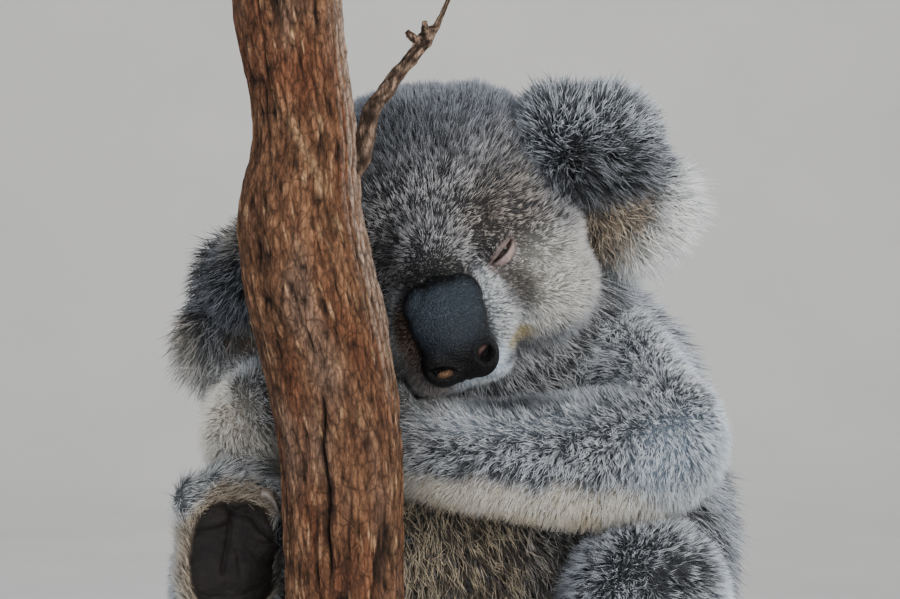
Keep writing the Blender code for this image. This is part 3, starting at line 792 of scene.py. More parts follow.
def markingsAt(points, normals, parts):
    # share of each marking at each point, laid over one another in order
    layers = []
    x, y, z = points.T
    head = intoPlace(points, "head")
    face, facing = folded(head), facingIn(normals, "head")
    wander = noiseAt(points, 14, 3, 2)
    isHead = parts["head"]
    leftArm = parts["arm_left"] + parts["hand_left"]
    outwards = normals[:, 0] + 0.15 * wander
    upwards = normals[:, 2] + 0.12 * wander
    downwards = -normals[:, 2] + 0.12 * wander

    def lay(name, share):
        layers.append((name, share))

    def onHead(*spots, at=face):
        return isHead * np.maximum.reduce([blob(at, *spot) for spot in spots])

    lay("back", ease(y + 8 * wander, 10, 60) * (1 - isHead))
    lay("rump", blob(points, (14, 100, 200), (110, 70, 60), 0.3) * ease(wander, -0.3, 0.5))
    lay("belly", parts["torso"] * ease(-y + 6 * wander, -6, 34) * (1 - ease(z, 330, 360))
        * (1 - ease(x, 100, 135)) * (1 - ease(-x, 92, 112)))
    lay("sideBelly", 0.85 * parts["torso"] * ease(x + 12 * wander, 20, 70) * ease(-y, -6, 34)
        * (1 - ease(z, 300, 330)))
    # painted shade: the chest under the head and cheek is painted dark grey
    lay("chest", (parts["torso"] + parts["neck"]) * ease(-y, 0, 30) * ease(z, 345, 372))
    lay("flank", (parts["torso"] + parts["arm_right"]) * ease(-x, 84, 100) * inBand(z, 315, 335, 392, 408)
        * ease(-y, -60, -10))
    lay("armGrey", np.maximum(parts["arm_left"] + parts["arm_right"], parts["hand_left"] + parts["hand_right"]))
    underArm = leftArm * ease(downwards, 0.25, 0.6)
    elbow = parts["arm_right"] * blob(points, (-122, -50, 350), (34, 60, 30), 0.35)
    lay("cream", np.maximum.reduce([underArm, elbow, parts["arm_right"] * ease(-normals[:, 2], 0.3, 0.7)]))
    lay("creamEdge", 0.8 * underArm * ease(downwards, 0.8, 1.0) * (1 - ease(x, 70, 110)))
    # partly the pale fur of the wrist, partly painted sky light on the faces that turn upwards
    lay("wrist", leftArm * ease(upwards, 0.3, 0.75) * (
        1 - 0.5 * ease(x + 6 * wander, 6, 30) - 0.35 * ease(x + 6 * wander, 50, 80)))
    # painted rim light: the coat's tips are painted pale and bluish along the outer side of the left arm, the
    # flank and the thigh, and round the left elbow
    flank = (parts["torso"] + parts["leg_left"]) * ease(outwards, 0.75, 0.95) * (x > 60)
    lay("paintedRimLight", (parts["arm_left"] * ease(outwards, 0.6, 0.9) + flank) * ease(-y, -40, 0))
    lay("paintedRimLight", 0.85 * parts["arm_left"] * blob(points, (122, -80, 338), (34, 50, 26), 0.4))
    lay("cream", 0.6 * (parts["leg_left"] + parts["leg_right"]) * ease(-normals[:, 2], 0.55, 0.9) * (y < 10))

    lay("forehead", isHead)
    lay("crown", isHead * ease(head[:, 1] + 5 * wander, 34, 58))
    lay("brow", 0.7 * onHead(((42, 10, 48), (24, 18, 34), 0.6)))
    lay("cheek", onHead(((56, -47, 44), (30, 36, 42), 0.4), ((76, -34, 12), (20, 26, 34), 0.4)))
    lay("paleFace", onHead(((25, -20, 76), (7.5, 11, 14), 0.45), ((28, -36, 78), (10, 16, 16), 0.4),
                           ((33, -46, 66), (14, 12, 16), 0.4)))
    # painted shade under the cheek
    lay("cheekUnderShade", onHead(((50, -74, 34), (34, 17, 36), 0.4)))
    lay("darkPatch", 0.9 * onHead(((38.5, -30, 60), (9, 12, 16), 0.6), at=face + wander[:, None]))
    lay("beside", onHead(((22, -30, 84), (7, 20, 14), 0.5)) * (head[:, 0] < 0))
    lay("noseTop", onHead(((0, -12, 86), (22, 16, 16), 0.3), at=head) * ease(head[:, 1], -30, -14))
    lay("chin", onHead(((15, -64, 76), (22, 15, 24), 0.3), ((0, -78, 62), (30, 16, 30), 0.3)))
    lay("beside", onHead(((-19, -58, 76), (15, 17, 26), 0.4), at=head))
    lay("darkPatch", onHead(((28, -59.5, 58), (9, 3.6, 24), 0.5), at=head))
    lay("stain", onHead(((31, -53, 58), (8, 4.6, 24), 0.4), at=head))

    isEar = parts["ear_left"] + parts["ear_right"]
    droop = earHang(head)
    rim = np.sqrt(((face[:, 0] - 96) / 36) ** 2 + ((head[:, 1] + droop + 6) / 47) ** 2) + 0.1 * wander
    cup = face + (0, 1, 0) * droop[:, None] + 3 * wander[:, None]
    lay("earDark", isEar)
    lay("earTip", isEar * ease(rim, 0.6, 1.0))
    lay("earTipBrown", parts["ear_right"] * ease(rim, 0.55, 1.0))
    lay("earInner", isEar * ease(facing[:, 2], -0.1, 0.4) * blob(cup, (94, -24, 0), (19, 17, 40), 0.5))
    lay("earFringe", isEar * ease(-(head[:, 1] + droop) + 0.7 * (face[:, 0] - 100) + 5 * wander, 24, 46)
        * np.where(head[:, 0] > 0, 1, 0.45))

    for paw in pawPlaces:
        lay("paw", parts[paw] * (0.75 if paw in hands else 1))
    for foot in feet:
        local = intoPlace(points, foot)
        shin = parts[foot.replace("foot", "leg")]
        lay("arch", np.maximum(parts[foot] * ease(local[:, 1], 6, 22),
                               shin * blob(local, (0, 34, -8), (44, 26, 30), 0.4)))
        if foot == "foot_right":
            # painted shade on the edge against the trunk, and the outer side of the shin pale
            lay("creaseShade", (parts[foot] + shin) * ease(local[:, 0], 21, 26) * (1 - ease(local[:, 1], 20, 30)))
            lay("arch", 0.5 * shin * ease(-local[:, 0], 14, 26) * (z < 330))
        edge = ((local[:, 0] - 4) / 25) ** 2 + ((local[:, 1] - 1) / 40) ** 2
        lay("pawInner", parts[foot] * (1 - ease(edge, 0.95, 1.25)) * ease(local[:, 2], 2, 8)
            * (1 - ease(local[:, 0], 20, 25)))
    # painted shade where the chin and lip rest on the arm, and on the arm's top under the lip
    touching = ease(2 * np.minimum(isHead, leftArm), 0.3, 0.75) * (x > 2)
    lay("creaseShade", np.maximum(touching, leftArm * blob(points, (30, -92, 371), (32, 22, 8), 0.3)))
    return layers


def coatColours(points, normals, parts):
    base = [linearOf(c) for c in markings["grey"][:3]]
    made = [np.tile(c, (len(points), 1)) for c in base]
    pale = np.full(len(points), markings["grey"][3])
    for name, share in markingsAt(points, normals, parts):
        share = np.clip(share, 0, 1)
        made = [mixed(one, linearOf(markings[name][i]), share) for i, one in enumerate(made)]
        pale = pale + (markings[name][3] - pale) * share
    return *made, pale


def bareShares(points, normals, parts):
    # pads, lids, lips and palms carry no coat
    head = intoPlace(points, "head")
    bare = {name: np.zeros(len(points)) for name in ("pad", "lid", "lidUpper", "lidEdge")}

    def spread(name, share):
        bare[name] = np.maximum(bare[name], share)

    for foot in feet:
        spread("pad", parts[foot] * soleShare(intoPlace(points, foot), facingIn(normals, foot)))
    for hand in hands:
        onBark = 1 - ease(np.abs(points[:, 0] + 66), 20, 29)
        spread("pad", parts[hand] * ease(facingIn(normals, hand)[:, 2], 0.1, 0.5) * onBark)
    for side in (left, right):
        along, over, reach, out = eyeCoordinates(head, side)
        near = (reach < 14) * (out > 0.3)
        above, slit = slitAt(along, over)
        ring = np.sqrt((along / 10.2) ** 2 + ((above + 1.5) / 5.9) ** 2)
        onLids = (1 - ease(ring + 0.16 * noiseAt(head, 1.3, 7), 0.5, 1.08)) * near
        spread("lid", onLids)
        spread("lidUpper", onLids * ease(above, 0.6, 1.4))
        spread("lidEdge", (1 - ease(slit, 0.1, 0.9)) * (np.abs(along) < 8.0) * near)
    bare["nose"] = 1 - ease(noseReach(head), 0.86, 0.97)
    return bare


def noseReach(headPoints):
    # 1 on the outline of the nose, which is a rounded oblong
    offset = np.abs((headPoints - noseCentre) / noseRadii)
    return (offset[:, 0] ** 3 + offset[:, 1] ** 3 + offset[:, 2] ** 3) ** (1 / 3)


def coatTheSkin(body):
    points, normals = pointsOf(body), normalsOf(body)
    parts = blendedParts(points)
    deep, darkTip, paleTip, pale = coatColours(points, normals, parts)
    bare = bareShares(points, normals, parts)
    lie = sum(flowOf(part, points) * weight[:, None] for part, weight in parts.items())
    fields = {key: sum(coatFor(part)[i] * weight for part, weight in parts.items())
              for i, key in enumerate(coatValues)}
    head = intoPlace(points, "head")
    face = folded(head)
    # the coat is shortest and finest round the nose and eyes, and longest on the ears' rims
    nearNose = np.exp(-np.clip(noseReach(head) - 1, 0, None) * 1.6)
    nearEye = 1.06 * bell(np.linalg.norm(face - np.array(eye["centre"]), axis=1), 20)
    short = 0.78 * np.maximum(nearNose, nearEye) + 0.25 * ease(head[:, 2], 20, 60)
    short = parts["head"] * np.clip(short, 0, 0.84)
    fields["length"] = np.maximum(fields["length"] * (1 - short), 1.9)
    fields["width"] *= 1 - 0.36 * short
    fields["density"] *= 1 + 1.1 * short
    fields["clump"] *= 1 - 0.45 * short
    fields["liftTip"] += 14 * short
    fringe = (parts["ear_left"] + parts["ear_right"]) * ease(
        -(head[:, 1] + earHang(head)) + 0.5 * (face[:, 0] - 96), 10, 40)
    fields["length"] *= 1 + 0.45 * fringe
    hidden = np.clip(bare["pad"] + bare["lid"] + bare["lidEdge"] + bare["nose"], 0, 1)
    fields["density"] *= (1 - hidden) ** 2.5
    mottle = np.clip(0.5 + 0.5 * noiseAt(points, 6, 5, 2), 0, 1)
    deep = mixed(deep, mixed(tiled(bareColours["pad"], len(points)), linearOf(bareColours["padLight"]), mottle),
                 bare["pad"])
    for name in ("lid", "lidUpper", "lidEdge"):
        deep = mixed(deep, linearOf(bareColours[name]), bare[name])
    paint(body, deep)
    body.data.uv_layers.new(name="OFBake")
    editSelected(body, "FACE", np.ones(len(body.data.polygons), bool), bpy.ops.uv.smart_project,
                 angle_limit=math.radians(66), island_margin=0.001)
    fields.update(points=points, normals=normals, lie=unit(lie), deep=deep, darkTip=darkTip, paleTip=paleTip,
                  pale=pale, parts=parts)
    return fields


fields = coatTheSkin(skin)
print("skin unwrapped and marked")


def skinTriangles(body):
    mesh = body.data
    mesh.calc_loop_triangles()
    loops = valuesOf(mesh.loop_triangles, "loops", 3, np.int32)
    return (valuesOf(mesh.loop_triangles, "vertices", 3, np.int32),
            valuesOf(mesh.uv_layers["OFBake"].data, "uv", 2)[loops])


corners, cornerUVs = skinTriangles(skin)
trunkStations = [
    (-45, 76, 31), (-47, 176, 30), (-51, 276, 29), (-52, 338, 30.5), (-58, 386, 32.5),
    (-66, 420, 34), (-73, 463, 31), (-71, 502, 25.5), (-77, 552, 26.5), (-80, 602, 27),
]
trunkY = -120
limbStations = [(-46, -112, 104, 30), (-32, -60, 107, 31), (-8, 10, 114, 30), (8, 70, 120, 28.5),
                (14, 128, 123, 28)]
# both routes as place along the wood, the two offsets across it and the radius
trunkRoute = np.insert(smoothRoute(trunkStations, 8), 2, trunkY, axis=1)[:, [1, 0, 2, 3]]
limbRoute = smoothRoute(limbStations, 8)[:, [1, 0, 2, 3]]


def alongRoute(route, place):
    return [np.interp(place, route[:, 0], route[:, k]) for k in (1, 2, 3)]


def clearOfPerch(points):
    # moves points that lie inside the trunk or the limb out to the bark
    made = points * 1.0
    for route, axis, across, low, high in ((trunkRoute, 2, (0, 1), 70, 1e4), (limbRoute, 1, (0, 2), -115, 128)):
        first, second, radius = alongRoute(route, made[:, axis])
        radius = radius + 0.6
        offset = made[:, across] - np.stack([first, second], axis=1)
        reach = np.linalg.norm(offset, axis=1)
        inside = (reach < radius) & (made[:, axis] > low) & (made[:, axis] < high)
        grown = made[:, across] - offset + offset * (radius / np.maximum(reach, 1e-6))[:, None]
        for k in (0, 1):
            made[inside, across[k]] = grown[inside, k]
    return made


def growTufts(chosen, seed):
    # roots scattered over the chosen parts of the skin, with everything that a tuft needs
    dice = np.random.default_rng(seed)
    strongest = np.max([fields["parts"][part] for part in partNames], axis=0)
    mine = np.max([fields["parts"][part] for part in partNames if part in chosen], axis=0) >= strongest - 1e-9
    at = fields["points"]
    crossed = np.cross(at[corners[:, 1]] - at[corners[:, 0]], at[corners[:, 2]] - at[corners[:, 0]])
    area = np.linalg.norm(crossed, axis=1) / 2 / 100  # in square centimetres
    expected = area * fields["density"][corners].mean(axis=1) * mine[corners].mean(axis=1)
    total = int(expected.sum())
    line = (np.arange(total) + dice.random(total)) / total * expected.sum()
    found = np.minimum(np.searchsorted(np.cumsum(expected), line), len(expected) - 1)
    spread = dice.random((total, 2))
    flip = spread.sum(axis=1) > 1
    spread[flip] = 1 - spread[flip]
    shares = np.stack([1 - spread.sum(axis=1), spread[:, 0], spread[:, 1]], axis=1)

    def atRoots(values):
        picked = values[corners[found]]
        return (picked * (shares if values.ndim == 1 else shares[:, :, None])).sum(axis=1)

    tufts = {key: atRoots(values) for key, values in fields.items() if key != "parts"}
    tufts["uv"] = (cornerUVs[found] * shares[:, :, None]).sum(axis=1)
    tufts["normals"] = unit(tufts["normals"])
    return tufts, dice


ringAngles = np.radians([90, 210, 330])
# corners of a tuft's triangles and of its patch on the unwrap: root, ring of three, tip, or ring and tip alone
bentShape = [(1, 2, 4), (2, 3, 4), (3, 1, 4), (2, 1, 0), (3, 2, 0), (1, 3, 0)]
straightShape = [(0, 1, 3), (1, 2, 3), (2, 0, 3), (2, 1, 0)]
tuft = {
    # how tufts turn, in degrees: each by itself, in broad swirls and in small ones
    "turn": 17, "swirl": 16, "whorl": 34,
    "lengthSpread": 0.28, "lengths": (0.4, 1.6), "lengthDrift": 0.12,
    "rootLift": 8, "tipLift": 10, "tipDrift": 11, "sideways": 0.12, "sag": 0.08,
    "bendAt": 0.42, "sunk": 0.6, "widths": (0.7, 1.35), "flat": 0.6, "pulls": (0.5, 1.3),
    "patch": 0.003, "mostTriangles": 197000,
    # dark and pale flecks, broader drifts, clumps and single tufts, and the edge between dark and pale
    "fleck": 0.7, "blotch": 0.3, "drift": 0.2, "clumps": 0.22, "single": 0.2, "paleEdge": (0.33, 0.75),
}


def tuftPatch(bent):
    flat = [[(0.35, i / 3), (0.35, (i + 1) / 3), (1, (i + 0.5) / 3)] for i in range(3)]
    if bent:
        flat += [[(0.35, (i + 1) / 3), (0.35, i / 3), (0, (i + 0.5) / 3)] for i in range(3)]
    else:
        flat.append([(0.3, 1), (0.3, 0), (0, 0.5)])
    return (np.array(flat) - 0.5) * tuft["patch"]  # each tuft has its own small patch of the unwrap


def drawnTogether(tufts, root, tip, dice):
    # the tips of each small clump are drawn together, but not through the skin on tight curves
    cell = tufts["clump"][:, None]
    jitter = np.stack([noiseAt(root, 6, 70 + k) for k in range(3)], axis=1)
    cells = np.floor((root + jitter * cell * 0.6) / cell.mean()).astype(np.int64)
    keys = cells[:, 0] * 73856093 ^ cells[:, 1] * 19349663 ^ cells[:, 2] * 83492791
    _, group = np.unique(keys, return_inverse=True)
    members = np.bincount(group)
    centre = np.stack([np.bincount(group, weights=tip[:, k]) / members for k in range(3)], axis=1)[group]
    drawn = tip + (centre - tip) * (tufts["pull"] * dice.uniform(*tuft["pulls"], len(root)))[:, None]
    outside = ((drawn - root) * tufts["normals"]).sum(axis=1) > 0.5
    return np.where(outside[:, None], drawn, tip), group, len(members)


def tuftPoints(tufts, dice, bent, curl):
    root, normal, lie = tufts["points"], tufts["normals"], tufts["lie"]
    count = len(root)

    def varied(spread):
        return dice.normal(0, spread, count)

    def raised(degrees):
        angle = np.radians(degrees)[:, None]
        return unit(lie * np.cos(angle) + normal * np.sin(angle))

    # the coat lies along the skin, but leaves it freely at rims that it points away from
    into = np.minimum((lie * normal).sum(axis=1), 0)[:, None]
    lie = unit(lie - into * normal)
    across = unit(np.cross(normal, lie))
    swirl = tuft["swirl"] * noiseAt(root, 9, 61, 2) + tuft["whorl"] * noiseAt(root, 2.6, 64)
    turn = np.radians(curl * (varied(tuft["turn"]) + swirl))[:, None]
    lie = lie * np.cos(turn) + across * np.sin(turn)
    length = tufts["length"] * (1 + tuft["lengthSpread"] * varied(1)).clip(*tuft["lengths"]) * (
        1 + tuft["lengthDrift"] * noiseAt(root, 12, 62))
    start = raised(tufts["liftRoot"] + varied(tuft["rootLift"]))
    end = raised(tufts["liftTip"] + curl * (varied(tuft["tipLift"]) + tuft["tipDrift"] * noiseAt(root, 3.4, 63)))
    end = unit(end + across * (curl * varied(tuft["sideways"]))[:, None] + down * tuft["sag"])
    middle = root + start * (length * tuft["bendAt"])[:, None]
    tip = middle + end * (length * (1 - tuft["bendAt"]))[:, None]
    tip, group, groups = drawnTogether(tufts, root, tip, dice)
    middle, tip = clearOfPerch(middle), clearOfPerch(tip)
    root = root - normal * tuft["sunk"]
    along = unit(tip - root)
    side = unit(np.cross(normal, along))
    rise = np.cross(along, side)
    half = (tufts["width"] * dice.uniform(*tuft["widths"], count) / 2)[:, None]
    ringAt = middle if bent else root
    ring = [ringAt + half * (side * math.cos(a) + rise * (tuft["flat"] * math.sin(a))) for a in ringAngles]
    return np.stack([root, *ring, tip] if bent else [*ring, tip], axis=1), root, tip, group, groups


def tuftColours(tufts, dice, bent, root, tip, group, groups):
    count = len(root)
    spots = tuft["fleck"] * noiseAt(tip / tufts["fleck"][:, None], 1, 81) + tuft["blotch"] * noiseAt(tip, 4.6, 82)
    spots += tuft["drift"] * noiseAt(root, 17, 84, 2) + tuft["clumps"] * (dice.random(groups)[group] * 2 - 1)
    chance = tufts["pale"] + spots + tuft["single"] * dice.normal(0, 1, count)
    share = ease(chance, *tuft["paleEdge"])
    tone = 1 + 0.1 * dice.normal(0, 1, count)
    tipColour = mixed(tufts["darkTip"], tufts["paleTip"], share) * tone[:, None]
    middleColour = mixed(tufts["deep"], tipColour, 0.3 + 0.25 * share)
    # roots: darker still than the coat's depth, a painted shade deep in the coat
    rootColour = tufts["deep"] * 0.7
    lowColour = mixed(rootColour, middleColour, 0.3)
    shades = [rootColour, *[middleColour] * 3, tipColour] if bent else [*[lowColour] * 3, tipColour]
    return np.stack(shades, axis=1).clip(0.002, 0.95)


def coatPieces(name, chosen, seed, slotName, bent=False, curl=1.0):
    tufts, dice = growTufts(chosen, seed)
    points, root, *rest = tuftPoints(tufts, dice, bent, curl)
    colours = tuftColours(tufts, dice, bent, root, *rest)
    shape = np.array(bentShape if bent else straightShape)
    count, corner = points.shape[:2]
    pieces = math.ceil(count * len(shape) / tuft["mostTriangles"])
    order = np.argsort(root[:, 0] + 0.3 * root[:, 1])
    for i, part in enumerate(np.array_split(order, pieces)):
        triangles = shape[None] + (np.arange(len(part)) * corner)[:, None, None]
        piece = meshPiece(f"{name}_{i + 1}", points[part].reshape(-1, 3), triangles.reshape(-1, 3))
        paint(piece, colours[part].reshape(-1, 3))
        uvs = tufts["uv"][part][:, None, None, :] + tuftPatch(bent)[None]
        piece.data.uv_layers.new(name="OFBake").data.foreach_set("uv", uvs.astype(np.float32).ravel())
        finishPiece(piece, fur, slotName)
    print(name, count, "tufts in", pieces, "pieces")


def grainedMaterial(name, settings, kind, grain, shade):
    # painted colours that a fine grain makes darker and lighter
    material, tree, shader, place, painted = paintedMaterial(name, settings)
    fine = addNode(tree, kind, grain, {"Vector": (place, "Object")})
    factor = addNode(tree, "ShaderNodeMapRange", shade, {"Value": (fine, 0)})
    addNode(tree, "ShaderNodeVectorMath", {"operation": "SCALE"}, {0: (painted, "Color"), "Scale": (factor, 0)},
            to=(shader, "Base Color"))
    return material, tree, shader, place, fine


# dense soft fur: dull, with a faint sheen where light grazes the tips
fur, *_ = grainedMaterial(
    "koalaFur", {"Roughness": 0.72, "Specular IOR Level": 0.2, "Sheen Weight": 0.25, "Sheen Roughness": 0.45,
                 "Sheen Tint": (0.85, 0.9, 1.0, 1)},
    "ShaderNodeTexNoise", {"Scale": 900.0, "Detail": 2.0},
    {"From Min": 0.3, "From Max": 0.7, "To Min": 0.82, "To Max": 1.15})

coatPieces("coat_head", ["head"], 101, "coat_grey", curl=1.3)
coatPieces("coat_ears", ears, 102, "coat_ear", bent=True, curl=1.9)
coatPieces("coat_body", ["torso", "neck", "tail"], 103, "coat_belly", curl=1.6)
coatPieces("coat_arms", ["arm_left", "arm_right"], 104, "coat_grey", curl=1.8)
coatPieces("coat_legs", ["leg_left", "leg_right"], 105, "coat_grey", curl=2.3)
coatPieces("coat_paws", [*hands, *feet], 106, "coat_paw", curl=1.1)


# bare hide where no coat grows, and a dark felt under the coat
hide, tree, shader, place, grain = grainedMaterial(
    "bareHide", {"Roughness": 0.66, "Specular IOR Level": 0.16},
    "ShaderNodeTexNoise", {"Scale": 420.0, "Detail": 4.0},
    {"From Min": 0.3, "From Max": 0.7, "To Min": 0.72, "To Max": 1.25})
pores = addNode(tree, "ShaderNodeTexVoronoi", {"Scale": 1400.0}, {"Vector": (place, "Object")})
height = addNode(tree, "ShaderNodeMath", {"operation": "ADD"}, {0: (pores, "Distance"), 1: (grain, 0)})
addNode(tree, "ShaderNodeBump", {"Strength": 0.5, "Distance": 0.0004}, {"Height": (height, 0)},
        to=(shader, "Normal"))
finishPiece(skin, hide, "coat_grey", "head", "neck", "torso", "tail", *ears, *hands, *feet, *(
    f"{bone}_{side}" for bone in ("upper_arm", "forearm", "thigh", "shin") for side in ("left", "right")))


# nose: one soft leather pad, broad and flat above, with two lobes and comma nostrils below
nose = {
    "voxel": 0.75, "softening": 9, "nostrilDepth": 5.0,
    # place, half widths, tilt in degrees and how far each opening's lit wall leans down and inwards
    "nostrils": [((12.9, -43.6), (4.4, 4.8), 25, (-0.35, 0.7)), ((-9.8, -47.0), (6.6, 3.3), -14, (0.1, -0.85))],
    "balls": [
        ((0, -26, 92), (19.3, 20, 13.5)), ((9.5, -18, 89), (10.5, 11.5, 11)), ((-9.5, -18, 89), (10.5, 11.5, 11)),
        ((0, -17, 88), (13, 12, 11.5)), ((0, -34, 95), (18, 19, 13)),
        ((8.7, -45.5, 98), (10.8, 11.5, 12)), ((-8.7, -45.5, 98), (10.8, 11.5, 12)),
        ((0, -47, 97), (14, 10, 11)), ((0, -38, 99), (11, 13, 10.5)),
    ],
    "blue": "#232b33", "dark": "#050507", "deep": "#020203", "pink": "#54403d", "cream": "#6f5540",
    "speck": "#5d6870",
}


def buildNose():
    pad = meltedBalls("nose_pad", [("head", *ball, 4) for ball in nose["balls"]], nose["voxel"], nose["softening"])
    points = intoPlace(pointsOf(pad), "head")
    facing = facingIn(normalsOf(pad), "head")
    _, up, out = points.T
    depth = np.zeros(len(points))
    inner, wall = np.zeros(len(points)), np.zeros(len(points))
    for at, halves, tilt, leans in nose["nostrils"]:
        # round on the near side, pressed to a flat slot against the trunk
        offset = points[:, :2] - at
        turn = math.radians(tilt)
        turned = offset @ np.array([[math.cos(turn), -math.sin(turn)], [math.sin(turn), math.cos(turn)]])
        gape = np.linalg.norm(turned / halves, axis=1)
        hole = 1 - ease(gape, 0.45, 1.12)
        lit = ease(offset @ np.array(leans) + 0.5 * noiseAt(points, 2.2, 97), -0.9, 1.8)
        front = ease(out, 92, 98)
        rim = 0.55 * bell(gape - 1.32, 0.22) * (hole < 0.3)
        depth += (nose["nostrilDepth"] * hole * (1.15 - 0.45 * lit) - rim) * front
        inner = np.maximum(inner, hole * front * (1 - 0.6 * lit))
        wall = np.maximum(wall, lit * hole * front)
    depth += 1.3 * bell(points[:, 0], 1.1) * (1 - ease(up, -52, -42))  # the groove between the lobes
    wrinkle = noiseAt(points * (0.6, 1.9, 0.6), 3.2, 91, 2) * ease(up, -46, -22)
    depth -= 0.22 * wrinkle + 0.3 * noiseAt(points, 9, 92)
    moved = points - facing * (0.35 * depth)[:, None]
    moved[:, 2] -= 0.75 * depth
    setPoints(pad, outOfPlace(moved, "head"))
    tones = {name: linearOf(value) for name, value in nose.items() if isinstance(value, str)}
    fleshy = mixed(tiled(nose["cream"], len(points)), tones["pink"], points[:, 0] > 0)
    colours = tiled(nose["dark"], len(points))
    for tone, share in (
            # painted sheen: blue-grey on the upper faces that turn outwards
            (tones["blue"], ease(up + 5 * noiseAt(points, 8, 93), -44, -22) * ease(facing[:, 2], 0.15, 0.8)),
            # painted shade: darker towards the bottom of the nose
            (tones["deep"], 1 - ease(up, -50, -34)),
            (tones["speck"], 0.28 * ease(noiseAt(points, 0.8, 94), 0.3, 0.9) * ease(up, -40, -24)),
            # the nostrils' flesh colour on their lit walls alone: partly their own colour, partly painted light
            (fleshy, 0.9 * ease(wall, 0.2, 0.95)),
            # painted shade deep in the nostrils
            (tones["deep"], ease(inner - wall, 0.1, 0.5))):
        colours = mixed(colours, tone, share)
    paint(pad, colours)
    return pad


nosePad = buildNose()
# damp, velvety leather: soft wide highlight above, a little wetter round the nostrils
leather, tree, shader, place, cells = grainedMaterial(
    "noseLeather", {"Roughness": 0.48, "Specular IOR Level": 0.15},
    "ShaderNodeTexVoronoi", {"Scale": 1050.0, "feature": "F1"},
    {"From Min": 0.1, "From Max": 0.75, "To Min": 1.35, "To Max": 0.6})
grain = addNode(tree, "ShaderNodeTexNoise", {"Scale": 2600.0, "Detail": 3.0}, {"Vector": (place, "Object")})
height = addNode(tree, "ShaderNodeMath", {"operation": "MULTIPLY_ADD", 1: 0.3}, {0: (grain, "Fac"), 2: (cells, 0)})
addNode(tree, "ShaderNodeBump", {"Strength": 1.0, "Distance": 0.0006, "invert": True}, {"Height": (height, 0)},
        to=(shader, "Normal"))
finishPiece(nosePad, leather, "nose_leather", "nose")
smoothShade(nosePad)
print("nose shaped")


# the eyeballs: tones, and the iris and pupil in millimetres
eyeTones = {"pupil": "#030303", "iris": "#1c110a", "irisEdge": "#0d0805", "white": "#1f1613",
            "irisRadius": 5.6, "pupilSize": (1.5, 4.2)}


def buildEye(name, side):
    centre = outOfPlace(np.array(eye["centre"], float) * (side, 1, 1), "head")
    deselectAll()
    bpy.ops.mesh.primitive_ico_sphere_add(subdivisions=5, radius=(eye["ball"] - 0.45) * mm, location=centre * mm)
    ball = bpy.context.object
    ball.name = ball.data.name = name
    bpy.ops.object.transform_apply(location=True, rotation=True, scale=True)
    points = pointsOf(ball)
    along, over, reach, out = eyeCoordinates(intoPlace(points, "head"), side)
    flatReach = np.hypot(along, over)
    bulge = 0.35 * bell(flatReach, 4.2) * (out > 0)  # the clear front of the eye
    setPoints(ball, centre + (points - centre) * (1 + bulge / reach)[:, None])
    iris = mixed(tiled(eyeTones["iris"], len(points)), linearOf(eyeTones["irisEdge"]), ease(flatReach, 3.0, 5.4))
    onIris = (1 - ease(flatReach, eyeTones["irisRadius"] - 0.4, eyeTones["irisRadius"])) * (out > 0)
    slit = np.hypot(along / eyeTones["pupilSize"][0], over / eyeTones["pupilSize"][1])
    colours = mixed(tiled(eyeTones["white"], len(points)), iris, onIris)
    paint(ball, mixed(colours, linearOf(eyeTones["pupil"]), (1 - ease(slit, 0.85, 1.05)) * (out > 0)))
    return ball


# wet eye: a clear glossy layer over a dark brown iris
wetEye, *_ = grainedMaterial(
    "wetEye", {"Roughness": 0.5, "Specular IOR Level": 0.1, "Coat Weight": 0.35, "Coat Roughness": 0.03,
               "IOR": 1.36},
    "ShaderNodeTexNoise", {"Scale": 1500.0, "Detail": 3.0}, {"To Min": 0.6, "To Max": 1.4})
for side, suffix in ((left, "left"), (right, "right")):
    eyeball = buildEye("eyeball_" + suffix, side)
    finishPiece(eyeball, wetEye, "eye", "eye_" + suffix)
    smoothShade(eyeball)
print("eyes set")


def sweptShape(route, radii, sides, deeper=1.0, firstAcross=None):
    # points and triangles of a closed tube along a route, with a radius for each station
    route = np.array(route, float)
    tangents = unit(np.gradient(route, axis=0))
    across = np.array([1.0, 0.02, 0.01]) if firstAcross is None else np.array(firstAcross, float)
    angles = np.arange(sides) * 2 * math.pi / sides
    rings = []
    for at, along, radius in zip(route, tangents, radii):
        across = unit(across - along * across.dot(along))
        over = np.cross(along, across)
        rings.append(at + radius * (np.cos(angles)[:, None] * across + np.sin(angles)[:, None] * over * deeper))
    points = np.concatenate([*rings, route[:1], route[-1:]])
    triangles = []
    last = len(route) - 1
    here = np.arange(sides)
    following = (here + 1) % sides
    for low in range(0, last * sides, sides):
        high = low + sides
        triangles += [(low + here, low + following, high + following), (low + here, high + following, high + here)]
    first, end = np.full(sides, len(points) - 2), np.full(sides, len(points) - 1)
    triangles += [(first, following, here), (end, last * sides + here, last * sides + following)]
    return points, np.concatenate([np.stack(three, axis=1) for three in triangles])


def joinedPiece(name, shapes):
    starts = np.cumsum([0] + [len(points) for points, _ in shapes])
    triangles = [corners + start for (_, corners), start in zip(shapes, starts)]
    return meshPiece(name, np.concatenate([points for points, _ in shapes]), np.concatenate(triangles))


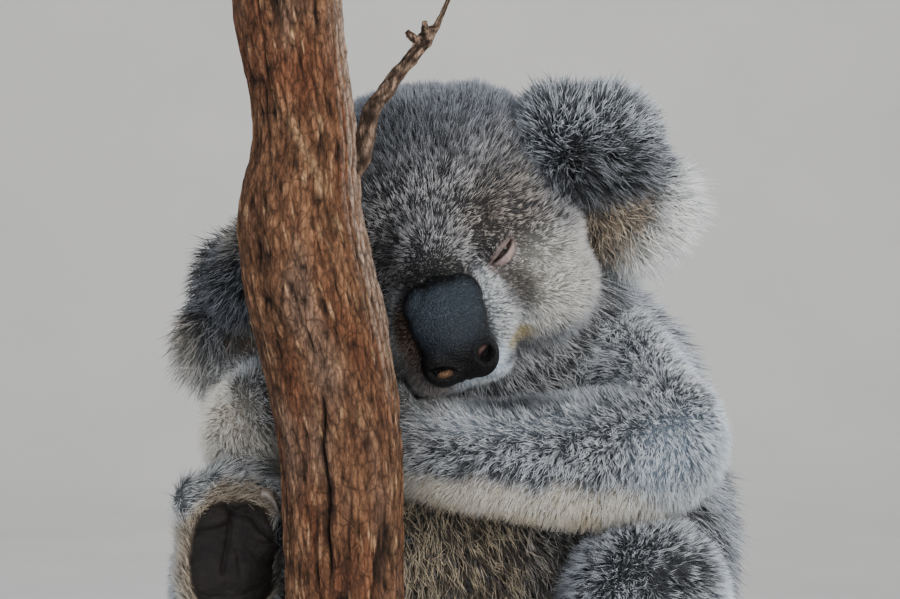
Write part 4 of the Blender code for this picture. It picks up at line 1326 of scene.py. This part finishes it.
# claws: dark curved horn, deeper than wide, on every clawed digit
claws = {
    # the way a claw leaves the digit, the way it curls and its length
    "hand": ((0, 1, 0.1), (0, -0.1, 0.5), 13),
    "foot": ((0, 0.8, 0.1), (0, -0.45, -0.4), 8),
    # one claw hooks over the edge of the sole: its root too, and the shade of its tip
    "hooked": (np.array([17.5, 34, 8]), (0.6, 0.2, 0.5), (0.05, -1.1, -0.25), 15, 0.55),
    "rootRadius": 2.5, "tipRadius": 0.35, "deeper": 1.25, "sides": 16, "rings": 18,
    "rootTone": "#6d6055", "tipTone": "#15120f",
}
clawedDigits = {
    "hand": [((17, 13, 0), 13), ((9, 21, -1), 14), ((-3, 24, -1), 14), ((-13, 20, -1), 14), ((-20, 6, 0), 12)],
    "foot": [((21, 31, 1), 12), ((8, 35, 0), 11), ((-6, 36, 0), 12), ((-20, 30, 1), 13)],
}


def buildClaws(paw):
    kind = paw.split("_")[0]
    shapes, shades = [], []
    t = np.linspace(0, 1, claws["rings"])[:, None]
    for centre, reach in clawedDigits[kind]:
        root = np.array(centre, float) + (0, 0.5 * reach, 0)
        leaves, curls, length, shade = (*claws[kind], 1)
        if kind == "foot" and centre[0] > 20:
            root, leaves, curls, length, shade = claws["hooked"]
        route = root + (np.array(leaves) * t + np.array(curls) * t * t) * length
        radii = claws["rootRadius"] + (claws["tipRadius"] - claws["rootRadius"]) * t[:, 0] ** 1.3
        shapes.append(sweptShape(outOfPlace(route, paw), radii, claws["sides"], claws["deeper"],
                                 places[paw][1][0]))
        shades.append(np.concatenate([np.repeat(t[:, 0], claws["sides"]), [0, 1]]) * shade)
    piece = joinedPiece("claws_" + paw, shapes)
    points = pointsOf(piece)
    colours = mixed(tiled(claws["rootTone"], len(points)), linearOf(claws["tipTone"]),
                    ease(np.concatenate(shades), 0.0, 0.6))
    paint(piece, colours * (1 + 0.18 * noiseAt(points, 1.6, 95))[:, None])
    finishPiece(piece, horn, "coat_paw")


# claw horn: dark, smooth, with faint ridges along it
horn, tree, shader, place, painted = paintedMaterial("clawHorn", {
    "Roughness": 0.34, "Specular IOR Level": 0.5, "Coat Weight": 0.2})
tree.links.new(painted.outputs["Color"], shader.inputs["Base Color"])
grain = addNode(tree, "ShaderNodeTexNoise", {"Scale": 1700.0, "Detail": 3.0}, {"Vector": (place, "Object")})
addNode(tree, "ShaderNodeBump", {"Strength": 0.25, "Distance": 0.0002}, {"Height": (grain, "Fac")},
        to=(shader, "Normal"))
for paw in pawPlaces:
    buildClaws(paw)
print("claws made")


# whiskers: a few fine dark hairs by the nose, over the eyes and on the cheeks
whiskers = {
    # number, place, how far the roots stray across and up, and the way they leave
    "lip": (13, (22, 0, 78), ((-4, 7), (-52, -24)), (0.8, -0.25, 0.5)),
    "brow": (5, (34, 6, 62), ((-6, 6), (-2, 3)), (0.35, 0.75, 0.6)),
    "length": (14, 24), "radius": 0.13, "dark": "#1c1b1c", "pale": "#6f6c68",
}


def buildWhiskers():
    shapes = []
    local = intoPlace(fields["points"], "head")
    t = np.linspace(0, 1, 9)[:, None]
    for side in (left, right):
        starts = []
        for number, at, strays, leaves in (whiskers["lip"], whiskers["brow"]):
            starts += [(at + np.array([*(dice.uniform(*stray) for stray in strays), 0]), leaves)
                       for _ in range(number)]
        for at, leaves in starts:
            near = np.argmin(np.linalg.norm((local - at * (side, 1, 1)) * (1, 1, 0.35), axis=1))
            leaves = unit(np.array(leaves) * (side, 1, 1) + dice.normal(0, 0.16, 3))
            length = dice.uniform(*whiskers["length"])
            sag = np.array([0.1 * side, -0.22, -0.1]) * dice.uniform(0.5, 1.4)
            route = local[near] + (leaves * t + sag * t * t) * length
            shapes.append(sweptShape(outOfPlace(route, "head"), whiskers["radius"] * (1.05 - 0.85 * t[:, 0]), 5))
    piece = joinedPiece("whiskers", shapes)
    points = pointsOf(piece)
    paint(piece, mixed(tiled(whiskers["dark"], len(points)), linearOf(whiskers["pale"]),
                       0.5 + 0.5 * noiseAt(points, 12, 96)))
    finishPiece(piece, horn, "coat_grey")


buildWhiskers()
print("whiskers set")


# bark: relief in millimetres, its colours, and the faces round and along each piece with its noise's start
bark = {
    "fissureDepth": 1.7, "fineDepth": 0.75, "flakeDepth": 0.7, "flakeRise": 0.45, "plateRise": 0.55, "broad": 1.5,
    "valley": "#1a100a", "brown": "#563a28", "tan": "#7e5b42", "fleck": "#b3926f", "red": "#5f3724",
    "grey": "#6b5a4e", "pale": "#9d8b7d", "sapwood": "#b08a62", "ring": "#8a6440", "heart": "#6e4b30",
    "endRings": 11, "crackDepth": 3.0, "ribHeight": 1.8, "trunk": (208, 300, 300), "limb": (160, 120, 400),
}


def barkSurface(around, seed):
    # relief and colours at points on an even cylinder, whose third axis runs along the grain
    drift = np.stack([noiseAt(around, 22, seed + k, 2) * 3.2 for k in range(2)] + [np.zeros(len(around))], axis=1)
    bent = around + drift

    def grain(cell, stretch, number, octaves=1):
        return noiseAt(bent / (1, 1, stretch), cell, seed + number, octaves)

    broad = noiseAt(around / (1, 1, 2), 36, seed + 9, 2)
    fissures = bell(grain(10, 5.5, 10), 0.06) * ease(grain(24, 2, 11), -0.3, 0.4)
    fine = bell(grain(4.6, 4.5, 12), 0.1)
    pits = ease(grain(2.1, 2.0, 14), 0.34, 0.6)
    flakes = grain(1.9, 2.6, 16, 2)
    plates = grain(5, 3.0, 18)
    relief = (bark["broad"] * broad + bark["plateRise"] * plates - bark["fissureDepth"] * fissures
              - bark["fineDepth"] * fine - bark["flakeDepth"] * pits + bark["flakeRise"] * flakes)
    colours = tiled(bark["brown"], len(around))
    for tone, share in (("tan", ease(flakes + 0.5 * plates, -0.2, 0.9)),
                        ("red", 0.55 * ease(grain(16, 3, 20, 2), 0.0, 0.8)),
                        ("grey", 0.5 * ease(grain(20, 3.5, 22, 2), 0.05, 0.9)),
                        ("fleck", 0.75 * ease(grain(1.7, 2.6, 24), 0.5, 0.85)),
                        ("valley", np.clip(0.85 * fissures + 0.5 * fine + 0.75 * pits, 0, 1))):
        colours = mixed(colours, linearOf(bark[tone]), share)
    return relief, colours


def ringedCylinder(name, around, along):
    # a cylinder of radius 1 and height 2, cut into rings along its side and on its ends
    deselectAll()
    bpy.ops.mesh.primitive_cylinder_add(vertices=around, radius=1, depth=2, end_fill_type="NGON")
    piece = bpy.context.object
    piece.name = piece.data.name = name
    editSelected(piece, "EDGE", uprightEdges(piece), bpy.ops.mesh.subdivide, number_cuts=along)
    isEnd = np.array([len(face.vertices) > 8 for face in piece.data.polygons])
    editSelected(piece, "FACE", isEnd, bpy.ops.mesh.inset, times=bark["endRings"], thickness=0.085,
                 use_even_offset=False)
    return piece


def barkPiece(name, route, around, along, seed, detail):
    # the two offsets across the wood and the place along it, for each point
    piece = ringedCylinder(name, around, along)
    unitPoints = pointsOf(piece) * mm
    share = (unitPoints[:, 2] + 1) / 2
    spread = np.hypot(unitPoints[:, 0], unitPoints[:, 1])
    angle = np.arctan2(unitPoints[:, 1], unitPoints[:, 0])
    height = route[0, 0] + share * (route[-1, 0] - route[0, 0])
    first, second, radius = alongRoute(route, height)
    onCylinder = np.stack([np.cos(angle) * 30, np.sin(angle) * 30, height], axis=1)
    relief, colours = detail(*barkSurface(onCylinder, seed), angle, height, radius)
    cut = ((share < 1e-4) | (share > 1 - 1e-4)) & (spread < 0.985)
    reach = (radius - 1.0 + relief * (1 - cut * (1 - np.clip(spread, 0, 1)))) * spread
    # the sawn ends show rings round an off-centre heart
    heart = spread + 0.12 * np.cos(angle - 1) + 0.03 * noiseAt(onCylinder, 14, seed + 30)
    wood = mixed(tiled(bark["sapwood"], len(angle)), linearOf(bark["ring"]), 0.5 + 0.5 * np.sin(heart * 75))
    wood = mixed(wood, linearOf(bark["heart"]), 1 - ease(heart, 0.0, 0.35))
    paint(piece, np.where((cut & (spread < 0.9))[:, None], wood, colours))
    return piece, first + np.cos(angle) * reach, second + np.sin(angle) * reach, height


# x and height of the crack down the front
crackRoute = np.array([(-60, 378), (-59, 366), (-60.5, 352), (-58.5, 340), (-57, 326), (-58, 312), (-56, 298),
                       (-57, 286)], float)


def trunkDetail(relief, colours, angle, height, radius):
    x = alongRoute(trunkRoute, height)[0] + np.cos(angle) * radius
    facing = ease(-np.sin(angle), 0.1, 0.4)
    crackX = np.interp(height, crackRoute[::-1, 1], crackRoute[::-1, 0])
    inCrack = bell(x - crackX, 1.1) * facing * inBand(height, 280, 300, 366, 384)
    # painted shade: the crack is painted near black
    colours = mixed(colours, linearOf(bark["valley"]) * 0.5, np.clip(1.2 * inCrack, 0, 1))
    # a slanting rib, and a paler fluted strip down the side nearest the head; the strip is partly paler bark and
    # partly a painted highlight on the lit side
    ribX = -75 + (504 - height) * 0.5
    rib = bell(x - ribX, 2.0) * facing * inBand(height, 468, 478, 500, 510)
    colours = mixed(colours, linearOf(bark["fleck"]), 0.5 * rib)
    strip = ease(np.cos(angle), 0.72, 0.9) * ease(-np.sin(angle), -0.75, -0.2) * ease(height, 330, 440)
    flutes = np.sin(angle * 34 + 1.5 * noiseAt(np.stack([angle * 20, height / 4, angle * 0], axis=1), 6, 240))
    colours = mixed(colours, linearOf(bark["pale"]), 0.72 * strip * ease(flutes, -0.5, 0.4))
    return relief - bark["crackDepth"] * inCrack + bark["ribHeight"] * rib + strip * (0.9 * flutes + 0.4), colours


def limbDetail(relief, colours, *_):
    return relief * 0.85, mixed(colours, linearOf(bark["grey"]), 0.25)


# rough bark: dull, with fine flaking between the modelled fissures
barkSkin, tree, shader, place, painted = paintedMaterial("roughBark", {
    "Roughness": 0.88, "Specular IOR Level": 0.2})
stretched, pulled = (
    addNode(tree, "ShaderNodeMapping", {"Scale": (1.0, 1.0, along)}, {"Vector": (place, "Object")})
    for along in (0.5, 0.14))
grain = addNode(tree, "ShaderNodeTexNoise", {"Scale": 700.0, "Detail": 5.0, "Roughness": 0.7},
                {"Vector": (stretched, 0)})
fibres = addNode(tree, "ShaderNodeTexNoise", {"Scale": 620.0, "Detail": 4.0, "Roughness": 0.6},
                 {"Vector": (pulled, 0)})
wander = addNode(tree, "ShaderNodeTexNoise", {"Scale": 160.0, "Detail": 3.0}, {"Vector": (stretched, 0)})
warp = addNode(tree, "ShaderNodeVectorMath", {"operation": "MULTIPLY_ADD", 1: (0.006, 0.006, 0.006)},
               {0: (wander, "Color"), 2: (stretched, 0)})
chips = addNode(tree, "ShaderNodeTexVoronoi", {"feature": "DISTANCE_TO_EDGE", "Scale": 250.0},
                {"Vector": (warp, 0)})
factor = None
for pattern, fromMin, fromMax, toMin, toMax in ((grain, 0.32, 0.68, 0.55, 1.45), (fibres, 0.36, 0.62, 0.55, 1.4),
                                                (chips, 0.0, 0.16, 0.5, 1.15)):
    shade = addNode(tree, "ShaderNodeMapRange", {"From Min": fromMin, "From Max": fromMax, "To Min": toMin,
                                                 "To Max": toMax}, {"Value": (pattern, 0)})
    factor = shade if factor is None else addNode(tree, "ShaderNodeMath", {"operation": "MULTIPLY"},
                                                  {0: (factor, 0), 1: (shade, 0)})
addNode(tree, "ShaderNodeVectorMath", {"operation": "SCALE"}, {0: (painted, "Color"), "Scale": (factor, 0)},
        to=(shader, "Base Color"))
addNode(tree, "ShaderNodeBump", {"Strength": 0.8, "Distance": 0.0011}, {"Height": (factor, 0)},
        to=(shader, "Normal"))

trunk, x, y, z = barkPiece("perch_trunk_bark", trunkRoute, *bark["trunk"], trunkDetail)
setPoints(trunk, np.stack([x, y, z], axis=1))
limb, x, z, y = barkPiece("perch_limb_bark", limbRoute, *bark["limb"], limbDetail)
setPoints(limb, np.stack([x, y, z], axis=1))
# the limb's axes are a mirrored set, so its faces are turned outwards again
editSelected(limb, "FACE", np.ones(len(limb.data.polygons), bool), bpy.ops.mesh.normals_make_consistent,
             inside=False)
for piece, node in ((trunk, "perch_trunk"), (limb, "perch_limb")):
    finishPiece(piece, barkSkin, "bark", node)
    smoothShade(piece, 60)


twig = {
    "route": [(-50, -120, 478, 6.5), (-43, -121, 490, 5.7), (-37.5, -121, 511, 4.4), (-31, -121, 520, 4.0),
              (-25.5, -121, 528, 3.7), (-18, -120.5, 537, 3.4), (-13, -120, 544, 3.9), (-9.5, -119, 549, 2.9),
              (-6, -118, 553, 1.9), (0, -116, 567, 1.3)],
    "shoots": [[(-14, -121, 543, 3.0), (-18, -122, 546, 2.6), (-21, -122.5, 549, 1.5)],
               [(-11, -119, 546, 2.6), (-12, -121, 551, 1.9), (-12, -122, 554, 1.1)]],
    "brown": "#41342b", "pale": "#87705f", "valley": "#281c14",
}


def buildTwig():
    shapes, tones = [], []
    for i, stations in enumerate([twig["route"], *twig["shoots"]]):
        fine = smoothRoute(stations, 14)
        sides = 28 if i == 0 else 12
        points, triangles = sweptShape(fine[:, :3], fine[:, 3] - 0.3, sides)
        middle = np.concatenate([np.repeat(fine[:, :3], sides, axis=0), fine[:1, :3], fine[-1:, :3]])
        out = unit(points - middle)
        steps = np.repeat(np.arange(len(fine)), sides) * 1.6
        turn = np.tile(np.arange(sides) / sides * 2 * math.pi, len(fine))
        wrapped = np.stack([np.cos(turn) * 4, np.sin(turn) * 4, steps / 4], axis=1)
        ridge = np.concatenate([noiseAt(wrapped, 1.7, 500 + i, 2), [0, 0]])
        points = points + out * (0.45 * ridge + 0.5 * noiseAt(middle, 6, 510 + i))[:, None]
        tone = mixed(tiled(twig["brown"], len(points)), linearOf(twig["pale"]), ease(ridge, -0.3, 0.8))
        tones.append(mixed(tone, linearOf(twig["valley"]), ease(-ridge, 0.15, 0.7)))
        shapes.append((points, triangles))
    piece = joinedPiece("perch_twig_bark", shapes)
    paint(piece, np.concatenate(tones))
    finishPiece(piece, barkSkin, "twig", "perch_twig")


buildTwig()
print("perch built")


# display stand: a plate with soft edges and two rods
stand = {"width": 300, "depth": 320, "height": 18, "corner": 30, "edge": 2,
         "rods": [("stand_rod_front_steel", "stand_rod_front", (-46, -120), 18.4, 75.6),
                  ("stand_rod_back_steel", "stand_rod_back", (8, 60), 18.4, 94)], "rodRadius": 8.9}


def buildPlate():
    deselectAll()
    bpy.ops.mesh.primitive_cube_add(size=1, location=(0, 0, stand["height"] / 2 * mm),
                                    scale=(stand["width"] * mm, stand["depth"] * mm, stand["height"] * mm))
    plate = bpy.context.object
    plate.name = plate.data.name = "stand_base_plate"
    bpy.ops.object.transform_apply(location=True, rotation=True, scale=True)
    editSelected(plate, "EDGE", uprightEdges(plate), bpy.ops.mesh.bevel, offset=stand["corner"] * mm, segments=16,
                 profile=0.5)
    applyModifier(plate, "BEVEL", width=stand["edge"] * mm, segments=4, limit_method="ANGLE",
                  angle_limit=math.radians(40))
    smoothShade(plate, 35)
    return plate


def tonedMaterial(name, settings, stretch, grain, stops, bump=None):
    # two tones and a relief that follow one fine grain
    material, tree, shader, place = newMaterial(name, settings)
    spread = addNode(tree, "ShaderNodeMapping", {"Scale": stretch}, {"Vector": (place, "Object")})
    fine = addNode(tree, "ShaderNodeTexNoise", grain, {"Vector": (spread, 0)})
    addNode(tree, "ShaderNodeValToRGB", {"stops": stops}, {"Fac": (fine, "Fac")}, to=(shader, "Base Color"))
    if bump:
        addNode(tree, "ShaderNodeBump", bump, {"Height": (fine, "Fac")}, to=(shader, "Normal"))
    return material


# powder-coated plate: matt charcoal with a fine orange-peel skin
powder = tonedMaterial("powderCoat", {"Roughness": 0.55, "Specular IOR Level": 0.45}, (1, 1, 1),
                       {"Scale": 900.0, "Detail": 2.0}, [(0.3, "#26282b"), (0.7, "#303236")],
                       {"Strength": 0.2, "Distance": 0.0002})
finishPiece(buildPlate(), powder, "stand_plate", "stand_base")

# brushed steel rods: soft streaks round the rod
steel = tonedMaterial("brushedSteel", {"Metallic": 1.0, "Roughness": 0.34}, (60.0, 60.0, 2600.0),
                      {"Scale": 1.0, "Detail": 3.0}, [(0.25, "#8c9094"), (0.75, "#b4b8bc")],
                      {"Strength": 0.15, "Distance": 0.0001})
r = stand["rodRadius"]
for name, node, (x, y), low, high in stand["rods"]:
    # height and radius, with a small chamfer at both ends
    stations = [(low, r - 0.4), (low + 0.4, r), (low + 6, r), (high - 0.5, r), (high, r - 0.5)]
    rod = meshPiece(name, *sweptShape([(x, y, z) for z, _ in stations], [radius for _, radius in stations], 48))
    finishPiece(rod, steel, "stand_steel", node)
    smoothShade(rod, 35)
print("stand built")


# camera, floor and lights, in metres
cameraPlace = {"place": (0, -1.180, 0.420), "lens": 88, "sensor": 36}
camera = newObject("camera", bpy.data.cameras.new("camera"))
camera.location = cameraPlace["place"]
camera.rotation_euler = (math.pi / 2, 0, 0)
camera.data.lens = cameraPlace["lens"]
camera.data.sensor_width = cameraPlace["sensor"]
bpy.context.scene.camera = camera

stage = {"flat": 3.0, "wall": 4.6, "height": 2.6, "steps": 14}


def buildStage():
    # a flat floor that curves up into a wall all round
    deselectAll()
    bpy.ops.mesh.primitive_circle_add(vertices=128, radius=stage["flat"], fill_type="NGON")
    floor = bpy.context.object
    floor.name = floor.data.name = "studio_floor"
    bpy.context.tool_settings.mesh_select_mode = (False, True, False)
    bpy.ops.object.mode_set(mode="EDIT")
    bpy.ops.mesh.select_all(action="SELECT")
    reach, rise = stage["flat"], 0.0
    for step in range(1, stage["steps"] + 1):
        turn = math.pi / 2 * step / stage["steps"]
        newReach = stage["flat"] + (stage["wall"] - stage["flat"]) * math.sin(turn)
        newRise = stage["height"] * (1 - math.cos(turn))
        bpy.ops.mesh.extrude_edges_move(TRANSFORM_OT_translate={"value": (0, 0, newRise - rise)})
        bpy.ops.transform.resize(value=(newReach / reach, newReach / reach, 1), center_override=(0, 0, 0))
        reach, rise = newReach, newRise
    bpy.ops.mesh.select_all(action="SELECT")
    bpy.ops.mesh.normals_make_consistent(inside=True)
    bpy.ops.object.mode_set(mode="OBJECT")
    bpy.ops.object.shade_smooth()
    return floor


floor = buildStage()
# matt painted studio floor
floor.data.materials.append(tonedMaterial(
    "studioPaint", {"Roughness": 0.9, "Specular IOR Level": 0.1}, (1, 1, 1), {"Scale": 3.0, "Detail": 4.0},
    [(0.3, "#cfcecb"), (0.7, "#d6d4d1")]))

world = bpy.data.worlds.new("studio")
bpy.context.scene.world = world
world.use_nodes = True
sky = world.node_tree.nodes["Background"].inputs
sky["Color"].default_value = (*linearOf("#dfe6ee"), 1)
sky["Strength"].default_value = 0.37
# soft key from above right, a broad fill from the left and a cool rim from behind
# place, what it points at, power, size and colour
subject = (0, 0, 0.42)
lamps = {
    "key": ((1.05, -1.1, 0.95), subject, 25, 0.8, "#fff8f0"),
    "fill": ((-1.2, -1.2, 0.7), subject, 15, 1.2, "#f4f6ff"),
    "rim": ((0.9, 0.9, 1.0), subject, 13, 0.8, "#dce9ff"),
    "lowFill": ((0.35, -1.6, 0.66), subject, 15, 0.8, "#ffffff"),
    "crest": ((-0.1, 1.1, 1.35), subject, 6.5, 0.7, "#d6e6ff"),
}
for name, (x, y) in (("washBack", (0, 1)), ("washFront", (0, -1)), ("washLeft", (1, 0)), ("washRight", (-1, 0))):
    # these light the studio wall alone
    lamps[name] = ((2.0 * x, 2.0 * y, 2.3), (4.6 * x, 4.6 * y, 0.5), 40, 1.4, "#ffffff")
for name, (place, aim, power, size, colour) in lamps.items():
    lamp = newObject(name, bpy.data.lights.new(name, "AREA"))
    lamp.location = place
    lamp.rotation_euler = (Vector(aim) - Vector(place)).to_track_quat("-Z", "Y").to_euler()
    lamp.data.energy, lamp.data.size, lamp.data.color = power, size, linearOf(colour)
print("stage lit")
